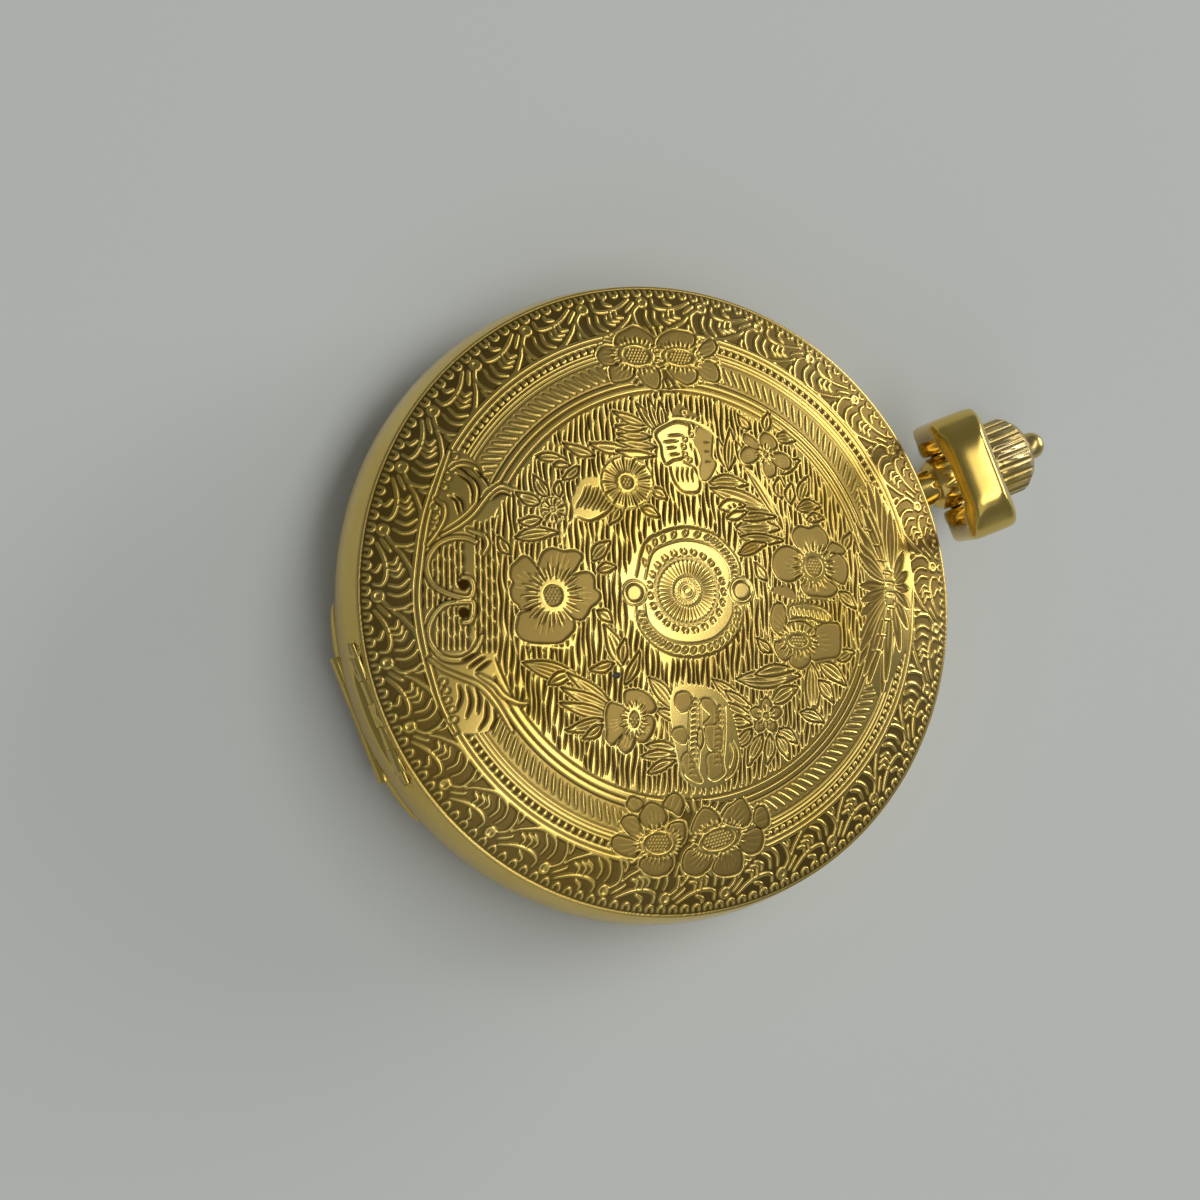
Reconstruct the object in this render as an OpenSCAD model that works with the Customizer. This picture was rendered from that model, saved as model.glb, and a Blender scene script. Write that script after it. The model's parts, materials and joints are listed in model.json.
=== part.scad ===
/* [Case] */
// How far the band stands out past the edge of the front cover
band_out = 0.6; // [0.4:0.05:0.9]
// Room for the catch between the bezel and the lip of the front cover
catch_room = 1.1; // [1.05:0.05:1.3]
// Thickness of the sheet that the covers are pressed from
cover_t = 0.6; // [0.45:0.05:0.7]
// Height of the front cover's dome above its edge
front_dome = 4.6; // [4:0.1:5.5]
// Depth of the back cover's dome
back_dome = 2.6; // [2.2:0.05:2.8]
// Radius of the flat middle of the back cover, on which the watch rests
rest_r = 12; // [10:0.5:13]
// Height of the beaded edge of the front cover
edge_h = 0.35; // [0.3:0.05:0.5]
// Opening line left between a cover and the band
cover_gap = 0.05; // [0.03:0.01:0.08]
// Width of the inner lip of the front cover
lip_w = 1.5; // [1.4:0.05:1.55]

/* [Hinges of the covers] */
// Length of the front cover's hinge along its pin
front_hinge_len = 9; // [8:0.2:10]
// Length of the back cover's hinge along its pin
back_hinge_len = 10; // [9:0.2:12]
// Radius of the hinge knuckles
hinge_r = 0.55; // [0.5:0.01:0.6]
// Radius of the hinge pins
pin_r = 0.25; // [0.2:0.01:0.3]
// Depth of the front hinge's axis inside the edge of the front cover
front_hinge_in = 0.3; // [0.2:0.05:0.4]
// Depth of the back hinge's axis inside the edge of the front cover
back_hinge_in = 0.15; // [0:0.05:0.25]
// Clearance of a turning bore on its pin
pin_gap = 0.03; // [0.02:0.005:0.05]

/* [Pendant, bow and crown] */
// Radius of the collar where the pendant meets the band
collar_r = 2.45; // [2.2:0.05:2.7]
// Radius of the bead on the pendant
bead_r = 2.05; // [1.9:0.05:2.2]
// Distance of the bow's pivots from the band
bow_out = 4.3; // [4:0.1:4.7]
// Inner width of the bow
bow_in_w = 6.9; // [6.8:0.05:7.2]
// Thickness of the bow's band
bow_t = 1.5; // [1.2:0.05:1.8]
// Width of the bow's band
bow_w = 3.9; // [3.4:0.1:4.2]
// Room between the ball of the push button and the bow over it
bow_room = 0.45; // [0.4:0.05:1.5]
// Lean of the bow towards the front cover as it stands
bow_lean = 16; // [0:1:18]
// Radius of the bow's screws
bow_pin_r = 0.5; // [0.4:0.02:0.6]
// Distance of the crown from the bow's pivots
crown_out = 2.9; // [2.7:0.05:3.1]
// Radius of the crown over its flutes
crown_r = 3.15; // [2.9:0.05:3.25]
// Length of the crown
crown_len = 4.5; // [4:0.1:4.7]
// Number of flutes round the crown
crown_flutes = 24; // [18:1:30]
// Radius of the ball on the push button
ball_r = 1.1; // [0.9:0.02:1.16]
// Travel of the push button
button_travel = 0.6; // [0.4:0.05:0.7]
// Travel of the crown when it is pulled to set the hands
pull_travel = 0.8; // [0.5:0.05:0.9]

/* [Dial side] */
// Depth of the dial's edge inside the edge of the mainplate
dial_in = 0.5; // [0.4:0.05:0.9]
// Width of the bezel outside the dial
bezel_w = 1.5; // [1.4:0.05:1.55]
// Width of the crystal outside the dial
crystal_over = 0.6; // [0.5:0.05:0.7]
// Thickness of the dial
dial_t = 0.35; // [0.3:0.05:0.4]
// Thickness of the crystal
crystal_t = 0.45; // [0.35:0.05:0.55]
// Length of the minute hand from its hub
minute_len = 15; // [13:0.5:16]
// Length of the hour hand from its hub
hour_len = 10.2; // [9:0.2:12]
// Length of the seconds hand from its hub
second_len = 3.4; // [3:0.1:4]
// Distance of the small seconds from the dial's middle
seconds_y = 9.6; // [9.4:0.05:9.8]

/* [Movement] */
// Radius of the mainplate, round which the case is built
plate_r = 20.4; // [20.2:0.05:20.6]
// Depth of the bridges' edge inside the edge of the mainplate
bridge_in = 0.5; // [0.4:0.05:0.6]
// Depth of the bridges' screws inside the edge of the mainplate
screw_in = 1.8; // [1.7:0.05:1.9]
// Thickness of the mainplate
plate_t = 1.6; // [1.4:0.05:1.8]
// Thickness of the bridges
bridge_t = 1.15; // [1:0.05:1.25]
// Space for the wheels between the bridges and the mainplate
train_h = 2.5; // [2.45:0.05:2.8]
// Space for the motion work under the dial
motion_h = 0.9; // [0.85:0.05:1]
// Free height over the winding wheels, inside the back cover
back_room = 1.3; // [1:0.05:1.6]
// Thickness of the winding wheels
winding_t = 0.5; // [0.4:0.05:0.6]
// Radius of a pivot
pivot_r = 0.12; // [0.1:0.01:0.14]
// Clearance of a pivot in its jewel
pivot_gap = 0.02; // [0.015:0.005:0.03]
// Radius of a jewel
jewel_r = 0.75; // [0.6:0.05:0.8]
// Radius of the balance over its screws
balance_r = 5.4; // [5:0.1:5.6]
// Radius of the winding stem
stem_r = 0.6; // [0.5:0.02:0.7]

/* [Teeth] */
// Module of barrel and centre pinion
m_barrel = 0.2; // [0.195:0.001:0.205]
// Module of centre wheel and third pinion
m_centre = 0.17; // [0.165:0.001:0.175]
// Module of third wheel and fourth pinion
m_third = 0.15; // [0.147:0.001:0.153]
// Module of fourth wheel and escape pinion
m_fourth = 0.11; // [0.108:0.001:0.112]
// Module of the motion work
m_motion = 0.18; // [0.17:0.005:0.19]
// Module of ratchet wheel and crown wheel
m_winding = 0.22; // [0.215:0.001:0.225]

/* [Hidden] */
$fn = 64;

gold = "gold";
gilt = "goldenrod";
steel = "lightsteelblue";
brass = "darkkhaki";
ruby = "crimson";
blued = "midnightblue";

// Counts of teeth
barrel_n = 80;
centre_pinion_n = 10;
centre_n = 64;
third_pinion_n = 8;
third_n = 60;
fourth_pinion_n = 8;
fourth_n = 70;
escape_pinion_n = 7;
escape_n = 15;
cannon_n = 10;
minute_n = 30;
minute_pinion_n = 8;
hour_n = 32;
ratchet_n = 50;
crown_n = 38;
winding_n = 20;

// Heights, from the resting face up to the dial
slack = 0.1;
winding_z = cover_t + back_room;
bridge_z = winding_z + winding_t + slack;
train_z = bridge_z + bridge_t;
plate_z = train_z + train_h;
motion_z = plate_z + plate_t;
dial_z = motion_z + motion_h;
face_z = dial_z + dial_t;
front_z = face_z - 0.2;
back_z = back_dome;
edge_z = front_z + cover_gap;
rim_z = edge_z + edge_h;
stem_z = winding_z + winding_t + 0.15 + 2.2;

// Places of the arbors
barrel_angle = 152;
barrel_at = m_barrel * (barrel_n + centre_pinion_n) / 2 * [cos(barrel_angle), sin(barrel_angle)];
centre_to_third = m_centre * (centre_n + third_pinion_n) / 2;
third_to_fourth = m_third * (third_n + fourth_pinion_n) / 2;
third_turn = acos((pow(centre_to_third, 2) + pow(seconds_y, 2) - pow(third_to_fourth, 2))
    / (2 * centre_to_third * seconds_y));
third_at = centre_to_third * [cos(third_turn - 90), sin(third_turn - 90)];
fourth_at = [0, -seconds_y];
escape_angle = -103;
fourth_to_escape = m_fourth * (fourth_n + escape_pinion_n) / 2;
escape_at = fourth_at + fourth_to_escape * [cos(escape_angle), sin(escape_angle)];
lever_angle = 148.3;
escape_r = 2.6;
escape_to_pallet = 3.05;
pallet_to_balance = 4.1;
lever_dir = [cos(lever_angle), sin(lever_angle)];
pallet_at = escape_at + escape_to_pallet * lever_dir;
balance_at = pallet_at + pallet_to_balance * lever_dir;
ratchet_to_crown = m_winding * (ratchet_n + crown_n) / 2;
crown_wheel_at = [0, barrel_at[1] + sqrt(pow(ratchet_to_crown, 2) - pow(barrel_at[0], 2))];
motion_dist = m_motion * (cannon_n + minute_n) / 2;
minute_at = motion_dist * [cos(45), sin(45)];

// Levels of the wheels in the train
wheel_t = 0.2;
barrel_z = train_z + 0.15;
barrel_h = train_h - 0.8;
barrel_tooth_t = 0.5;
third_z = train_z + 0.6;
escape_z = train_z + 0.9;
lever_z = escape_z;
fourth_z = train_z + 1.6;
centre_z = train_z + 2;
balance_z = bridge_z + 0.55;
balance_t = 0.5;
roller_z = train_z + 0.1;
cock_z = bridge_z - 0.7;
cock_t = 0.7;
spring_z = bridge_z + 0.2;

// The case is built round the mainplate, and the balance cock's foot stands clear of the balance
foot_r = 1.3;
cock_foot_r = norm(balance_at) + balance_r + slack + foot_r;
dial_r = plate_r - dial_in;
bezel_r = dial_r + bezel_w;
crystal_r = dial_r + crystal_over;
cover_r = bezel_r + catch_room + lip_w;
band_r = cover_r + band_out;
front_hinge_y = cover_r - front_hinge_in;
back_hinge_y = cover_r - back_hinge_in;
bow_y = band_r + bow_out;

// Sizes that follow from others
seat_gap = 0.05;
band_in_r = plate_r + 2.2;
shoulder_h = plate_z;
flange_r = dial_r + seat_gap;
lip_r = cover_r - lip_w;
pinion_r = winding_n * 0.22 / 2;
bead_y = bow_y - 0.7;
crown_y = bow_y + crown_out;
button_y = crown_y + crown_len;
ball_y = button_y + 1.15;
bow_reach = ball_y + ball_r + bow_room - bow_y;
front_hinge_z = front_z - 0.7;
back_hinge_z = back_z + 0.75;
click_pivot = 7.4;
click_angle = 100;
click_at = barrel_at + click_pivot * [cos(click_angle), sin(click_angle)];
click_r = 1;
cannon_r = 0.62;
hour_tube_r = 0.95;
arbor_r = 0.4;
seconds_arbor_r = 0.2;

// A point of a circle
function spot(r, a) = [r * cos(a), r * sin(a)];

// Points of an arc from angle a to angle b
function arc(c, r, a, b, n) = [for (i = [0:n]) c + spot(r, a + (b - a) * i / n)];

// Height of a dome of height h and radius r0 at radius r
function dome(r, r0, h) = h * pow(max(0, 1 - pow(r / r0, 2)), 0.8);

// Outline of a gear with trapezoid teeth, one tooth centred on angle turn
function gear_points(n, m, turn) =
    let (r = n * m / 2, tip = r + 0.85 * m, root = r - 1.15 * m, step = 360 / n)
    [for (i = [0:n - 1]) for (k = [[root, -0.24], [tip, -0.1], [tip, 0.1], [root, 0.24]])
        spot(k[0], turn + step * (i + k[1]))];

// Turn that puts a gap of an n-toothed gear on the angle a
function gap_turn(n, a) = a + 180 / n;

module at(p, z = 0) {
    translate([p[0], p[1], z]) children();
}

module disc(r, z, h) {
    translate([0, 0, z]) cylinder(r = r, h = h);
}

module ring(r, bore, z, h) {
    difference() {
        disc(r, z, h);
        disc(bore, z - 1, h + 2);
    }
}

module gear(n, m, turn, z, h) {
    translate([0, 0, z]) linear_extrude(height = h) polygon(gear_points(n, m, turn));
}

// A wheel with a toothed rim and crossed arms
module crossed_wheel(n, m, turn, z, h, hub, bore, arms) {
    rim = n * m / 2 - 3.2 * m;
    arm_w = 0.35 + 0.05 * rim;
    difference() {
        gear(n, m, turn, z, h);
        difference() {
            disc(rim, z - 1, h + 2);
            disc(hub, z - 2, h + 4);
            for (i = [0:arms - 1])
                rotate([0, 0, turn + 360 / arms * (i + 0.5)])
                    translate([0, -arm_w / 2, z - 2]) cube([rim + 1, arm_w, h + 4]);
        }
        disc(bore, z - 3, h + 6);
    }
}

// Things laid along the +Y axis at the height of the stem
module along_stem(y) {
    translate([0, y, stem_z]) rotate([-90, 0, 0]) children();
}

// A slotted screw with its head towards the back of the watch
module screw(p, head_z, head_r, head_h, shank_r, shank_len) {
    at(p) difference() {
        union() {
            disc(head_r, head_z, head_h);
            disc(shank_r, head_z + head_h / 2, shank_len + head_h / 2);
        }
        translate([-head_r - 1, -0.09, head_z - 1]) cube([2 * head_r + 2, 0.18, 1 + head_h * 0.4]);
    }
}

// Case
function band_side() = [
    [band_r - 1.05, back_z + cover_gap], [band_r - 0.55, back_z + 0.75],
    [band_r - 0.15, back_z + 1.85], [band_r, back_z + 3], [band_r - 0.08, front_z - 1.9],
    [band_r - 0.35, front_z - 0.7], [band_r - 0.7, front_z]
];

module band_section() {
    polygon(concat(
        band_side(),
        [[flange_r, front_z], [flange_r, motion_z + seat_gap], [plate_r + seat_gap, motion_z + seat_gap],
         [plate_r + seat_gap, shoulder_h], [band_in_r, shoulder_h], [band_in_r, back_z + cover_gap]]));
}

knuckle_gap = 0.06;
notch_gap = 0.15;

// Knuckle number i of the five of a hinge, counted along X
module knuckle(i, len, y, z, r, grow) {
    translate([-len / 2 + i * len / 5 - grow, -y, z])
        rotate([0, 90, 0]) cylinder(r = r, h = len / 5 + 2 * grow);
}

module front_knuckle(i, r, grow) {
    knuckle(i, front_hinge_len, front_hinge_y, front_hinge_z, r, grow);
}

module back_knuckle(i, r, grow) {
    knuckle(i, back_hinge_len, back_hinge_y, back_hinge_z, r, grow);
}

// A bar along X, as long as knuckle i, from y0 to y1 and z0 to z1
module knuckle_bar(i, len, grow, y0, y1, z0, z1) {
    translate([-len / 2 + i * len / 5 - grow, y0, z0]) cube([len / 5 + 2 * grow, y1 - y0, z1 - z0]);
}

module hinge_pin(len, y, z, r) {
    translate([-len / 2, -y, z]) rotate([0, 90, 0]) cylinder(r = r, h = len);
}

lock_slot_w = 2.6;
catch_w = 2;
catch_y = lip_r - 0.55;
spring_t = 0.3;
arms_z = back_z + 1.1;
lift_angle = -55;

module case_middle() {
    cut_r = hinge_r + notch_gap;
    color(gold) difference() {
        union() {
            rotate_extrude($fn = 180) band_section();
            for (i = [0, 2, 4]) {
                front_knuckle(i, hinge_r, -knuckle_gap / 2);
                back_knuckle(i, hinge_r, -knuckle_gap / 2);
            }
        }
        // room for the knuckles of the covers
        for (i = [1, 3]) {
            knuckle_bar(i, front_hinge_len, knuckle_gap / 4, -band_r - 1, cut_r - front_hinge_y,
                front_hinge_z - cut_r, front_z + 1);
            knuckle_bar(i, back_hinge_len, knuckle_gap / 4, -band_r - 1, cut_r - back_hinge_y,
                back_z - 1, back_hinge_z + cut_r);
        }
        // flat behind the front hinge, for the edge of the open cover
        translate([-front_hinge_len / 2 - 0.1, -band_r - 1, front_hinge_z - cut_r - 0.1])
            cube([front_hinge_len + 0.2, 1.45, front_z]);
        hinge_pin(front_hinge_len + 2, front_hinge_y, front_hinge_z, pin_r);
        hinge_pin(back_hinge_len + 2, back_hinge_y, back_hinge_z, pin_r);
        // hole for the stem
        along_stem(band_in_r - 2) cylinder(r = 1.3, h = 6);
        // slot for the catch of the lock spring
        translate([-lock_slot_w / 2, catch_y - 0.75, shoulder_h - 1])
            cube([lock_slot_w, 1.35, front_z - shoulder_h + 2]);
        // slot for the nose of the lift spring
        rotate([0, 0, lift_angle]) translate([catch_y - 0.35, -0.8, shoulder_h - 1])
            cube([0.8, 1.6, front_z - shoulder_h + 2]);
        // threads of the screws that hold the movement
        for (a = case_screw_angles) at(spot(plate_r + 0.9, a)) disc(0.45, shoulder_h - 0.5, 1.4);
    }
}

pendant_y = band_r - 0.5;

module pendant() {
    color(gold) difference() {
        union() {
            along_stem(0) rotate_extrude($fn = 96) polygon([
                [0, pendant_y - 0.3], [collar_r, pendant_y - 0.3], [collar_r, pendant_y + 0.6],
                [collar_r - 0.25, pendant_y + 1], [collar_r - 0.75, pendant_y + 1.2],
                [1.5, bead_y - 1.2], [bead_r - 0.35, bead_y - 1], [bead_r, bead_y - 0.45],
                [bead_r, bead_y + 1.15], [bead_r - 0.3, bead_y + 1.6], [1.6, bead_y + 1.8],
                [1.6, crown_y - 0.35], [0, crown_y - 0.35]]);
            // flats under the eyes of the bow
            translate([-bead_r - 0.1, bow_y - 0.75, stem_z - 0.75])
                cube([2 * bead_r + 0.2, 1.5, 1.5]);
        }
        along_stem(0) cylinder(r = 1.15, h = 60);
        rotate_extrude($fn = 180) band_section();
        // threads of the bow's screws
        translate([-5, bow_y, stem_z]) rotate([0, 90, 0]) cylinder(r = bow_pin_r * 0.7, h = 10);
    }
}

back_edge_r = band_r - 1.1;
relief_len = back_hinge_len + 20;
relief_w = 4.4;

function back_outer(r) = r <= rest_r ? 0 : back_z * pow((r - rest_r) / (back_edge_r - rest_r), 3);

module back_cover() {
    steps = 14;
    edge_r = back_edge_r;
    step = (edge_r - rest_r) / steps;
    in_r = band_in_r - 0.9;
    color(gold) difference() {
        union() {
            rotate_extrude($fn = 180) polygon(concat(
                [[0, 0]],
                [for (i = [0:steps]) [rest_r + i * step, back_outer(rest_r + i * step)]],
                [[band_in_r - seat_gap, back_z], [band_in_r - seat_gap, back_z + 0.9],
                 [in_r, back_z + 0.9]],
                [for (i = [steps:-1:0]) let (r = rest_r + i * (in_r - rest_r) / steps)
                    [r, back_outer(r) + cover_t]],
                [[0, cover_t]]));
            for (i = [1, 3]) {
                back_knuckle(i, hinge_r, -knuckle_gap / 2);
                knuckle_bar(i, back_hinge_len, -knuckle_gap / 2, -back_hinge_y - 0.3,
                    -back_hinge_y + 0.3, back_z - 0.1, back_hinge_z);
                knuckle_bar(i, back_hinge_len, -knuckle_gap / 2, -back_hinge_y - 0.3,
                    -back_hinge_y + 1.2, back_z - 0.4, back_z);
            }
        }
        hinge_pin(back_hinge_len + 2, back_hinge_y, back_hinge_z, pin_r + pin_gap);
        // relief of the snap lip near the hinge
        translate([-relief_len / 2, -band_in_r - 0.15, back_z]) cube([relief_len, relief_w, 2]);
    }
}

module back_hinge_pin() {
    color(gilt) hinge_pin(back_hinge_len, back_hinge_y, back_hinge_z, pin_r);
}

// Section of the front cover
module front_section() {
    steps = 22;
    in_r = cover_r - 0.9;
    polygon(concat(
        [for (i = [0:steps]) let (r = cover_r * sin(90 * i / steps))
            [r, rim_z + dome(r, cover_r, front_dome)]],
        [[cover_r, edge_z], [lip_r, edge_z], [lip_r, edge_z + 0.25], [in_r, edge_z + 0.25]],
        [for (i = [steps:-1:0]) let (r = in_r * sin(90 * i / steps))
            [r, rim_z + dome(r, in_r, front_dome - cover_t)]]));
}

module front_cover() {
    color(gold) difference() {
        union() {
            rotate_extrude($fn = 180) front_section();
            for (i = [1, 3]) {
                front_knuckle(i, hinge_r, -knuckle_gap / 2);
                knuckle_bar(i, front_hinge_len, -knuckle_gap / 2, -front_hinge_y - 0.2,
                    -front_hinge_y + 0.3, front_hinge_z, edge_z + 0.2);
            }
        }
        hinge_pin(front_hinge_len + 2, front_hinge_y, front_hinge_z, pin_r + pin_gap);
    }
}

module front_hinge_pin() {
    color(gilt) hinge_pin(front_hinge_len, front_hinge_y, front_hinge_z, pin_r);
}

// Bow, drawn standing along +Z from its pivots and then leaned
eye_in = bead_r + 0.15;
bow_half = bow_in_w / 2;

function bow_inner() = [
    [-bow_half + 0.9, 2.6 - 0.9], [-bow_half, 2.6], [-bow_half, bow_reach - 1.9],
    [-bow_half + 1.9, bow_reach], [bow_half - 1.9, bow_reach], [bow_half, bow_reach - 1.9],
    [bow_half, 2.6], [bow_half - 0.9, 2.6 - 0.9], [eye_in, 0.9], [eye_in, -3],
    [-eye_in, -3], [-eye_in, 0.9]
];

function bow_outer() = let (h = bow_half + bow_t, top = bow_reach + bow_t) [
    [-eye_in - bow_t, 1.1], [-h, 2.6], [-h, top - 2.5], [-h + 0.4, top - 1.7],
    [-h + 1.7, top - 0.4], [-h + 2.5, top], [h - 2.5, top], [h - 1.7, top - 0.4],
    [h - 0.4, top - 1.7], [h, top - 2.5], [h, 2.6], [eye_in + bow_t, 1.1],
    [eye_in + bow_t, -0.9], [-eye_in - bow_t, -0.9]
];

module bow() {
    color(gold) translate([0, bow_y, stem_z]) rotate([bow_lean, 0, 0]) difference() {
        intersection() {
            rotate([90, 0, 0]) translate([0, 0, -bow_w / 2]) linear_extrude(height = bow_w)
                difference() {
                    polygon(bow_outer());
                    polygon(bow_inner());
                }
            // the band's edges fall away, and the eyes are round
            union() {
                translate([0, 0, 0]) rotate([0, 90, 0]) translate([0, 0, -10])
                    cylinder(r = 1.35, h = 20);
                rotate([0, 90, 0]) translate([0, 0, -10]) linear_extrude(height = 20)
                    polygon([[0, -1.3], [-3, -bow_w / 2], [-bow_reach, -bow_w / 2],
                        [-bow_reach - bow_t, -bow_w / 2 + 0.7], [-bow_reach - bow_t, bow_w / 2 - 0.7],
                        [-bow_reach, bow_w / 2], [-3, bow_w / 2], [0, 1.3]]);
            }
        }
        rotate([0, 90, 0]) translate([0, 0, -10]) cylinder(r = bow_pin_r + pin_gap, h = 20);
    }
}

module bow_screws() {
    color(gilt) for (s = [-1, 1]) translate([0, bow_y, stem_z]) rotate([0, 90 * s, 0]) {
        difference() {
            union() {
                translate([0, 0, bead_r + 0.1]) cylinder(r = bow_pin_r, h = bow_t + 0.1);
                translate([0, 0, 1.25]) cylinder(r = bow_pin_r * 0.7, h = bead_r);
                translate([0, 0, eye_in + bow_t + 0.05]) cylinder(r = 0.85, h = 0.35);
            }
            translate([-1, -0.1, eye_in + bow_t + 0.25]) cube([2, 0.2, 1]);
        }
    }
}

module crown() {
    flute = 2 * PI * crown_r / crown_flutes * 0.42;
    color(gold) difference() {
        along_stem(0) rotate_extrude($fn = 96) polygon([
            [0, crown_y], [crown_r - 0.9, crown_y], [crown_r - 0.15, crown_y + 0.5],
            [crown_r, crown_y + 1], [crown_r, button_y - 1.2], [crown_r - 0.5, button_y - 0.5],
            [1.6, button_y], [0, button_y]]);
        for (i = [0:crown_flutes - 1])
            along_stem(crown_y - 1) rotate([0, 0, 360 / crown_flutes * i])
                translate([crown_r + flute * 0.25, 0, 0]) cylinder(r = flute * 0.75, h = crown_len + 2, $fn = 16);
        along_stem(crown_y - 1) cylinder(r = 0.85, h = 2.5);
        along_stem(crown_y) cylinder(r = 0.55, h = 10);
        along_stem(button_y - 1.2) cylinder(r = ball_r + 0.08, h = 3);
        // room for the pendant's neck
        along_stem(crown_y - 1) cylinder(r = 1.7, h = 1.4);
    }
}

module crown_button() {
    color(gold) {
        along_stem(button_y - 0.5) cylinder(r = 0.85, h = 1.1);
        translate([0, ball_y, stem_z]) sphere(r = ball_r);
        along_stem(crown_y + 2) cylinder(r = 0.5, h = crown_len - 2);
    }
}

stem_in_y = 9;
clutch_y = stem_in_y + 1.4;
winding_y = crown_wheel_at[1] + m_winding * crown_n / 2 - 1;
block_y = winding_y + 4.4;

module winding_stem() {
    color(steel) difference() {
        union() {
            along_stem(stem_in_y) cylinder(r = stem_r * 0.75, h = 2);
            along_stem(clutch_y - 0.2) cylinder(r = stem_r, h = crown_y + 1.3 - clutch_y);
            along_stem(crown_y - 0.6) cylinder(r = 0.85, h = 1.9);
        }
        // groove for the pin of the setting lever
        along_stem(winding_y + 2.6) difference() {
            cylinder(r = 2, h = 0.6);
            translate([0, 0, -1]) cylinder(r = stem_r * 0.6, h = 3);
        }
    }
}

module winding_pinion() {
    color(steel) difference() {
        along_stem(winding_y) linear_extrude(height = 1.6) polygon(gear_points(winding_n, 0.2, 0));
        along_stem(winding_y - 1) cylinder(r = stem_r + pin_gap, h = 6);
    }
}

module clutch_wheel() {
    color(steel) difference() {
        union() {
            along_stem(clutch_y) cylinder(r = 1.25, h = winding_y - clutch_y - 0.1);
            along_stem(clutch_y) linear_extrude(height = 0.6) polygon(gear_points(14, 0.2, 0));
        }
        along_stem(clutch_y - 1) cylinder(r = stem_r + pin_gap, h = 8);
        along_stem(clutch_y + 1.05) difference() {
            cylinder(r = 3, h = 0.45);
            translate([0, 0, -1]) cylinder(r = 0.95, h = 3);
        }
    }
}

module setting_lever() {
    y = winding_y + 2.9;
    color(steel) {
        translate([0, y, stem_z]) rotate([0, 90, 0]) translate([0, 0, stem_r * 0.6 + 0.05])
            cylinder(r = 0.22, h = 1.4);
        translate([stem_r + 0.55, y - 1, stem_z - 0.6]) cube([0.35, 1.5, 1.2]);
    }
}

// Springs in the band
module spring_arc(r, a, b, z, h) {
    translate([0, 0, z]) linear_extrude(height = h)
        polygon(concat(arc([0, 0], r, a, b, 40), arc([0, 0], r - spring_t, b, a, 40)));
}

bridge_over_z = stem_z + stem_r + 0.15;

module lock_spring() {
    r = catch_y + spring_t + 0.1;
    h = shoulder_h - 0.05 - bridge_over_z;
    color(steel) {
        for (a = [[50, 80], [100, 130]]) spring_arc(r, a[0], a[1], arms_z, shoulder_h - 0.05 - arms_z);
        spring_arc(r, 79, 101, bridge_over_z, h);
        translate([-catch_w / 2, catch_y, bridge_over_z]) cube([catch_w, 0.35, edge_z + 0.55 - bridge_over_z]);
        translate([-catch_w / 2, catch_y, edge_z + 0.3]) cube([catch_w, 0.5, 0.25]);
    }
}

module lift_spring() {
    r = catch_y + spring_t + 0.1;
    color(steel) {
        spring_arc(r, -105, -52, arms_z, shoulder_h - 0.05 - arms_z);
        rotate([0, 0, lift_angle]) translate([catch_y - 0.1, -0.5, arms_z]) cube([0.4, 1, edge_z - arms_z - 0.1]);
    }
}

// Bezel, crystal and dial
module bezel() {
    color(gold) rotate_extrude($fn = 180) polygon([
        [dial_r - 0.4, face_z + 0.05], [bezel_r - 0.6, face_z + 0.05], [bezel_r - 0.6, front_z + 0.02],
        [bezel_r, front_z + 0.02], [bezel_r, face_z + 0.35], [bezel_r - 0.3, face_z + 0.75],
        [crystal_r + 0.05, face_z + 0.95], [crystal_r + 0.05, face_z + 0.45],
        [dial_r - 0.4, face_z + 0.45]]);
}

module crystal() {
    steps = 14;
    edge_z = face_z + 0.5;
    color("white", 0.35) rotate_extrude($fn = 180) polygon(concat(
        [for (i = [0:steps]) let (r = crystal_r * sin(90 * i / steps))
            [r, edge_z + crystal_t + dome(r, crystal_r, 1.2)]],
        [for (i = [steps:-1:0]) let (r = crystal_r * sin(90 * i / steps))
            [r, edge_z + dome(r, crystal_r, 1.1)]]));
}

module dial() {
    color("ivory") difference() {
        union() {
            disc(dial_r, dial_z, dial_t);
            for (a = dial_foot_angles) at(spot(dial_r - 2.4, a)) disc(0.4, motion_z - 1, motion_h + 1.1);
        }
        disc(hour_tube_r + 0.2, dial_z - 1, dial_t + 2);
        at(fourth_at) disc(0.5, dial_z - 1, dial_t + 2);
        at(fourth_at) ring(second_len + 0.7, 0.9, face_z - 0.08, 1);
    }
}

dial_foot_angles = [35, 155, 275];

// Hands, drawn pointing along +Y and turned to ten past ten
hour_turn = 55;
minute_turn = -60;

module hour_hand() {
    z = face_z + 0.3;
    color(blued) rotate([0, 0, hour_turn]) difference() {
        union() {
            disc(1.35, z, 0.13);
            translate([0, 0, z]) linear_extrude(height = 0.13) union() {
                polygon([[-0.35, 1], [-0.16, hour_len - 4], [0.16, hour_len - 4], [0.35, 1]]);
                polygon([[-0.16, hour_len - 1.2], [0, hour_len], [0.16, hour_len - 1.2]]);
                translate([0, hour_len - 2.6]) difference() {
                    circle(r = 1.5);
                    circle(r = 0.85);
                }
            }
        }
        disc(hour_tube_r, z - 1, 3);
    }
}

module minute_hand() {
    z = face_z + 0.68;
    color(blued) rotate([0, 0, minute_turn]) difference() {
        union() {
            disc(0.95, z, 0.13);
            translate([0, 0, z]) linear_extrude(height = 0.13) union() {
                polygon([[-0.3, 0.7], [-0.13, minute_len - 5], [0.13, minute_len - 5], [0.3, 0.7]]);
                polygon([[-0.13, minute_len - 3.2], [0, minute_len], [0.13, minute_len - 3.2]]);
                translate([0, minute_len - 4.1]) difference() {
                    circle(r = 1.05);
                    circle(r = 0.6);
                }
            }
        }
        disc(cannon_r, z - 1, 3);
    }
}

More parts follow.
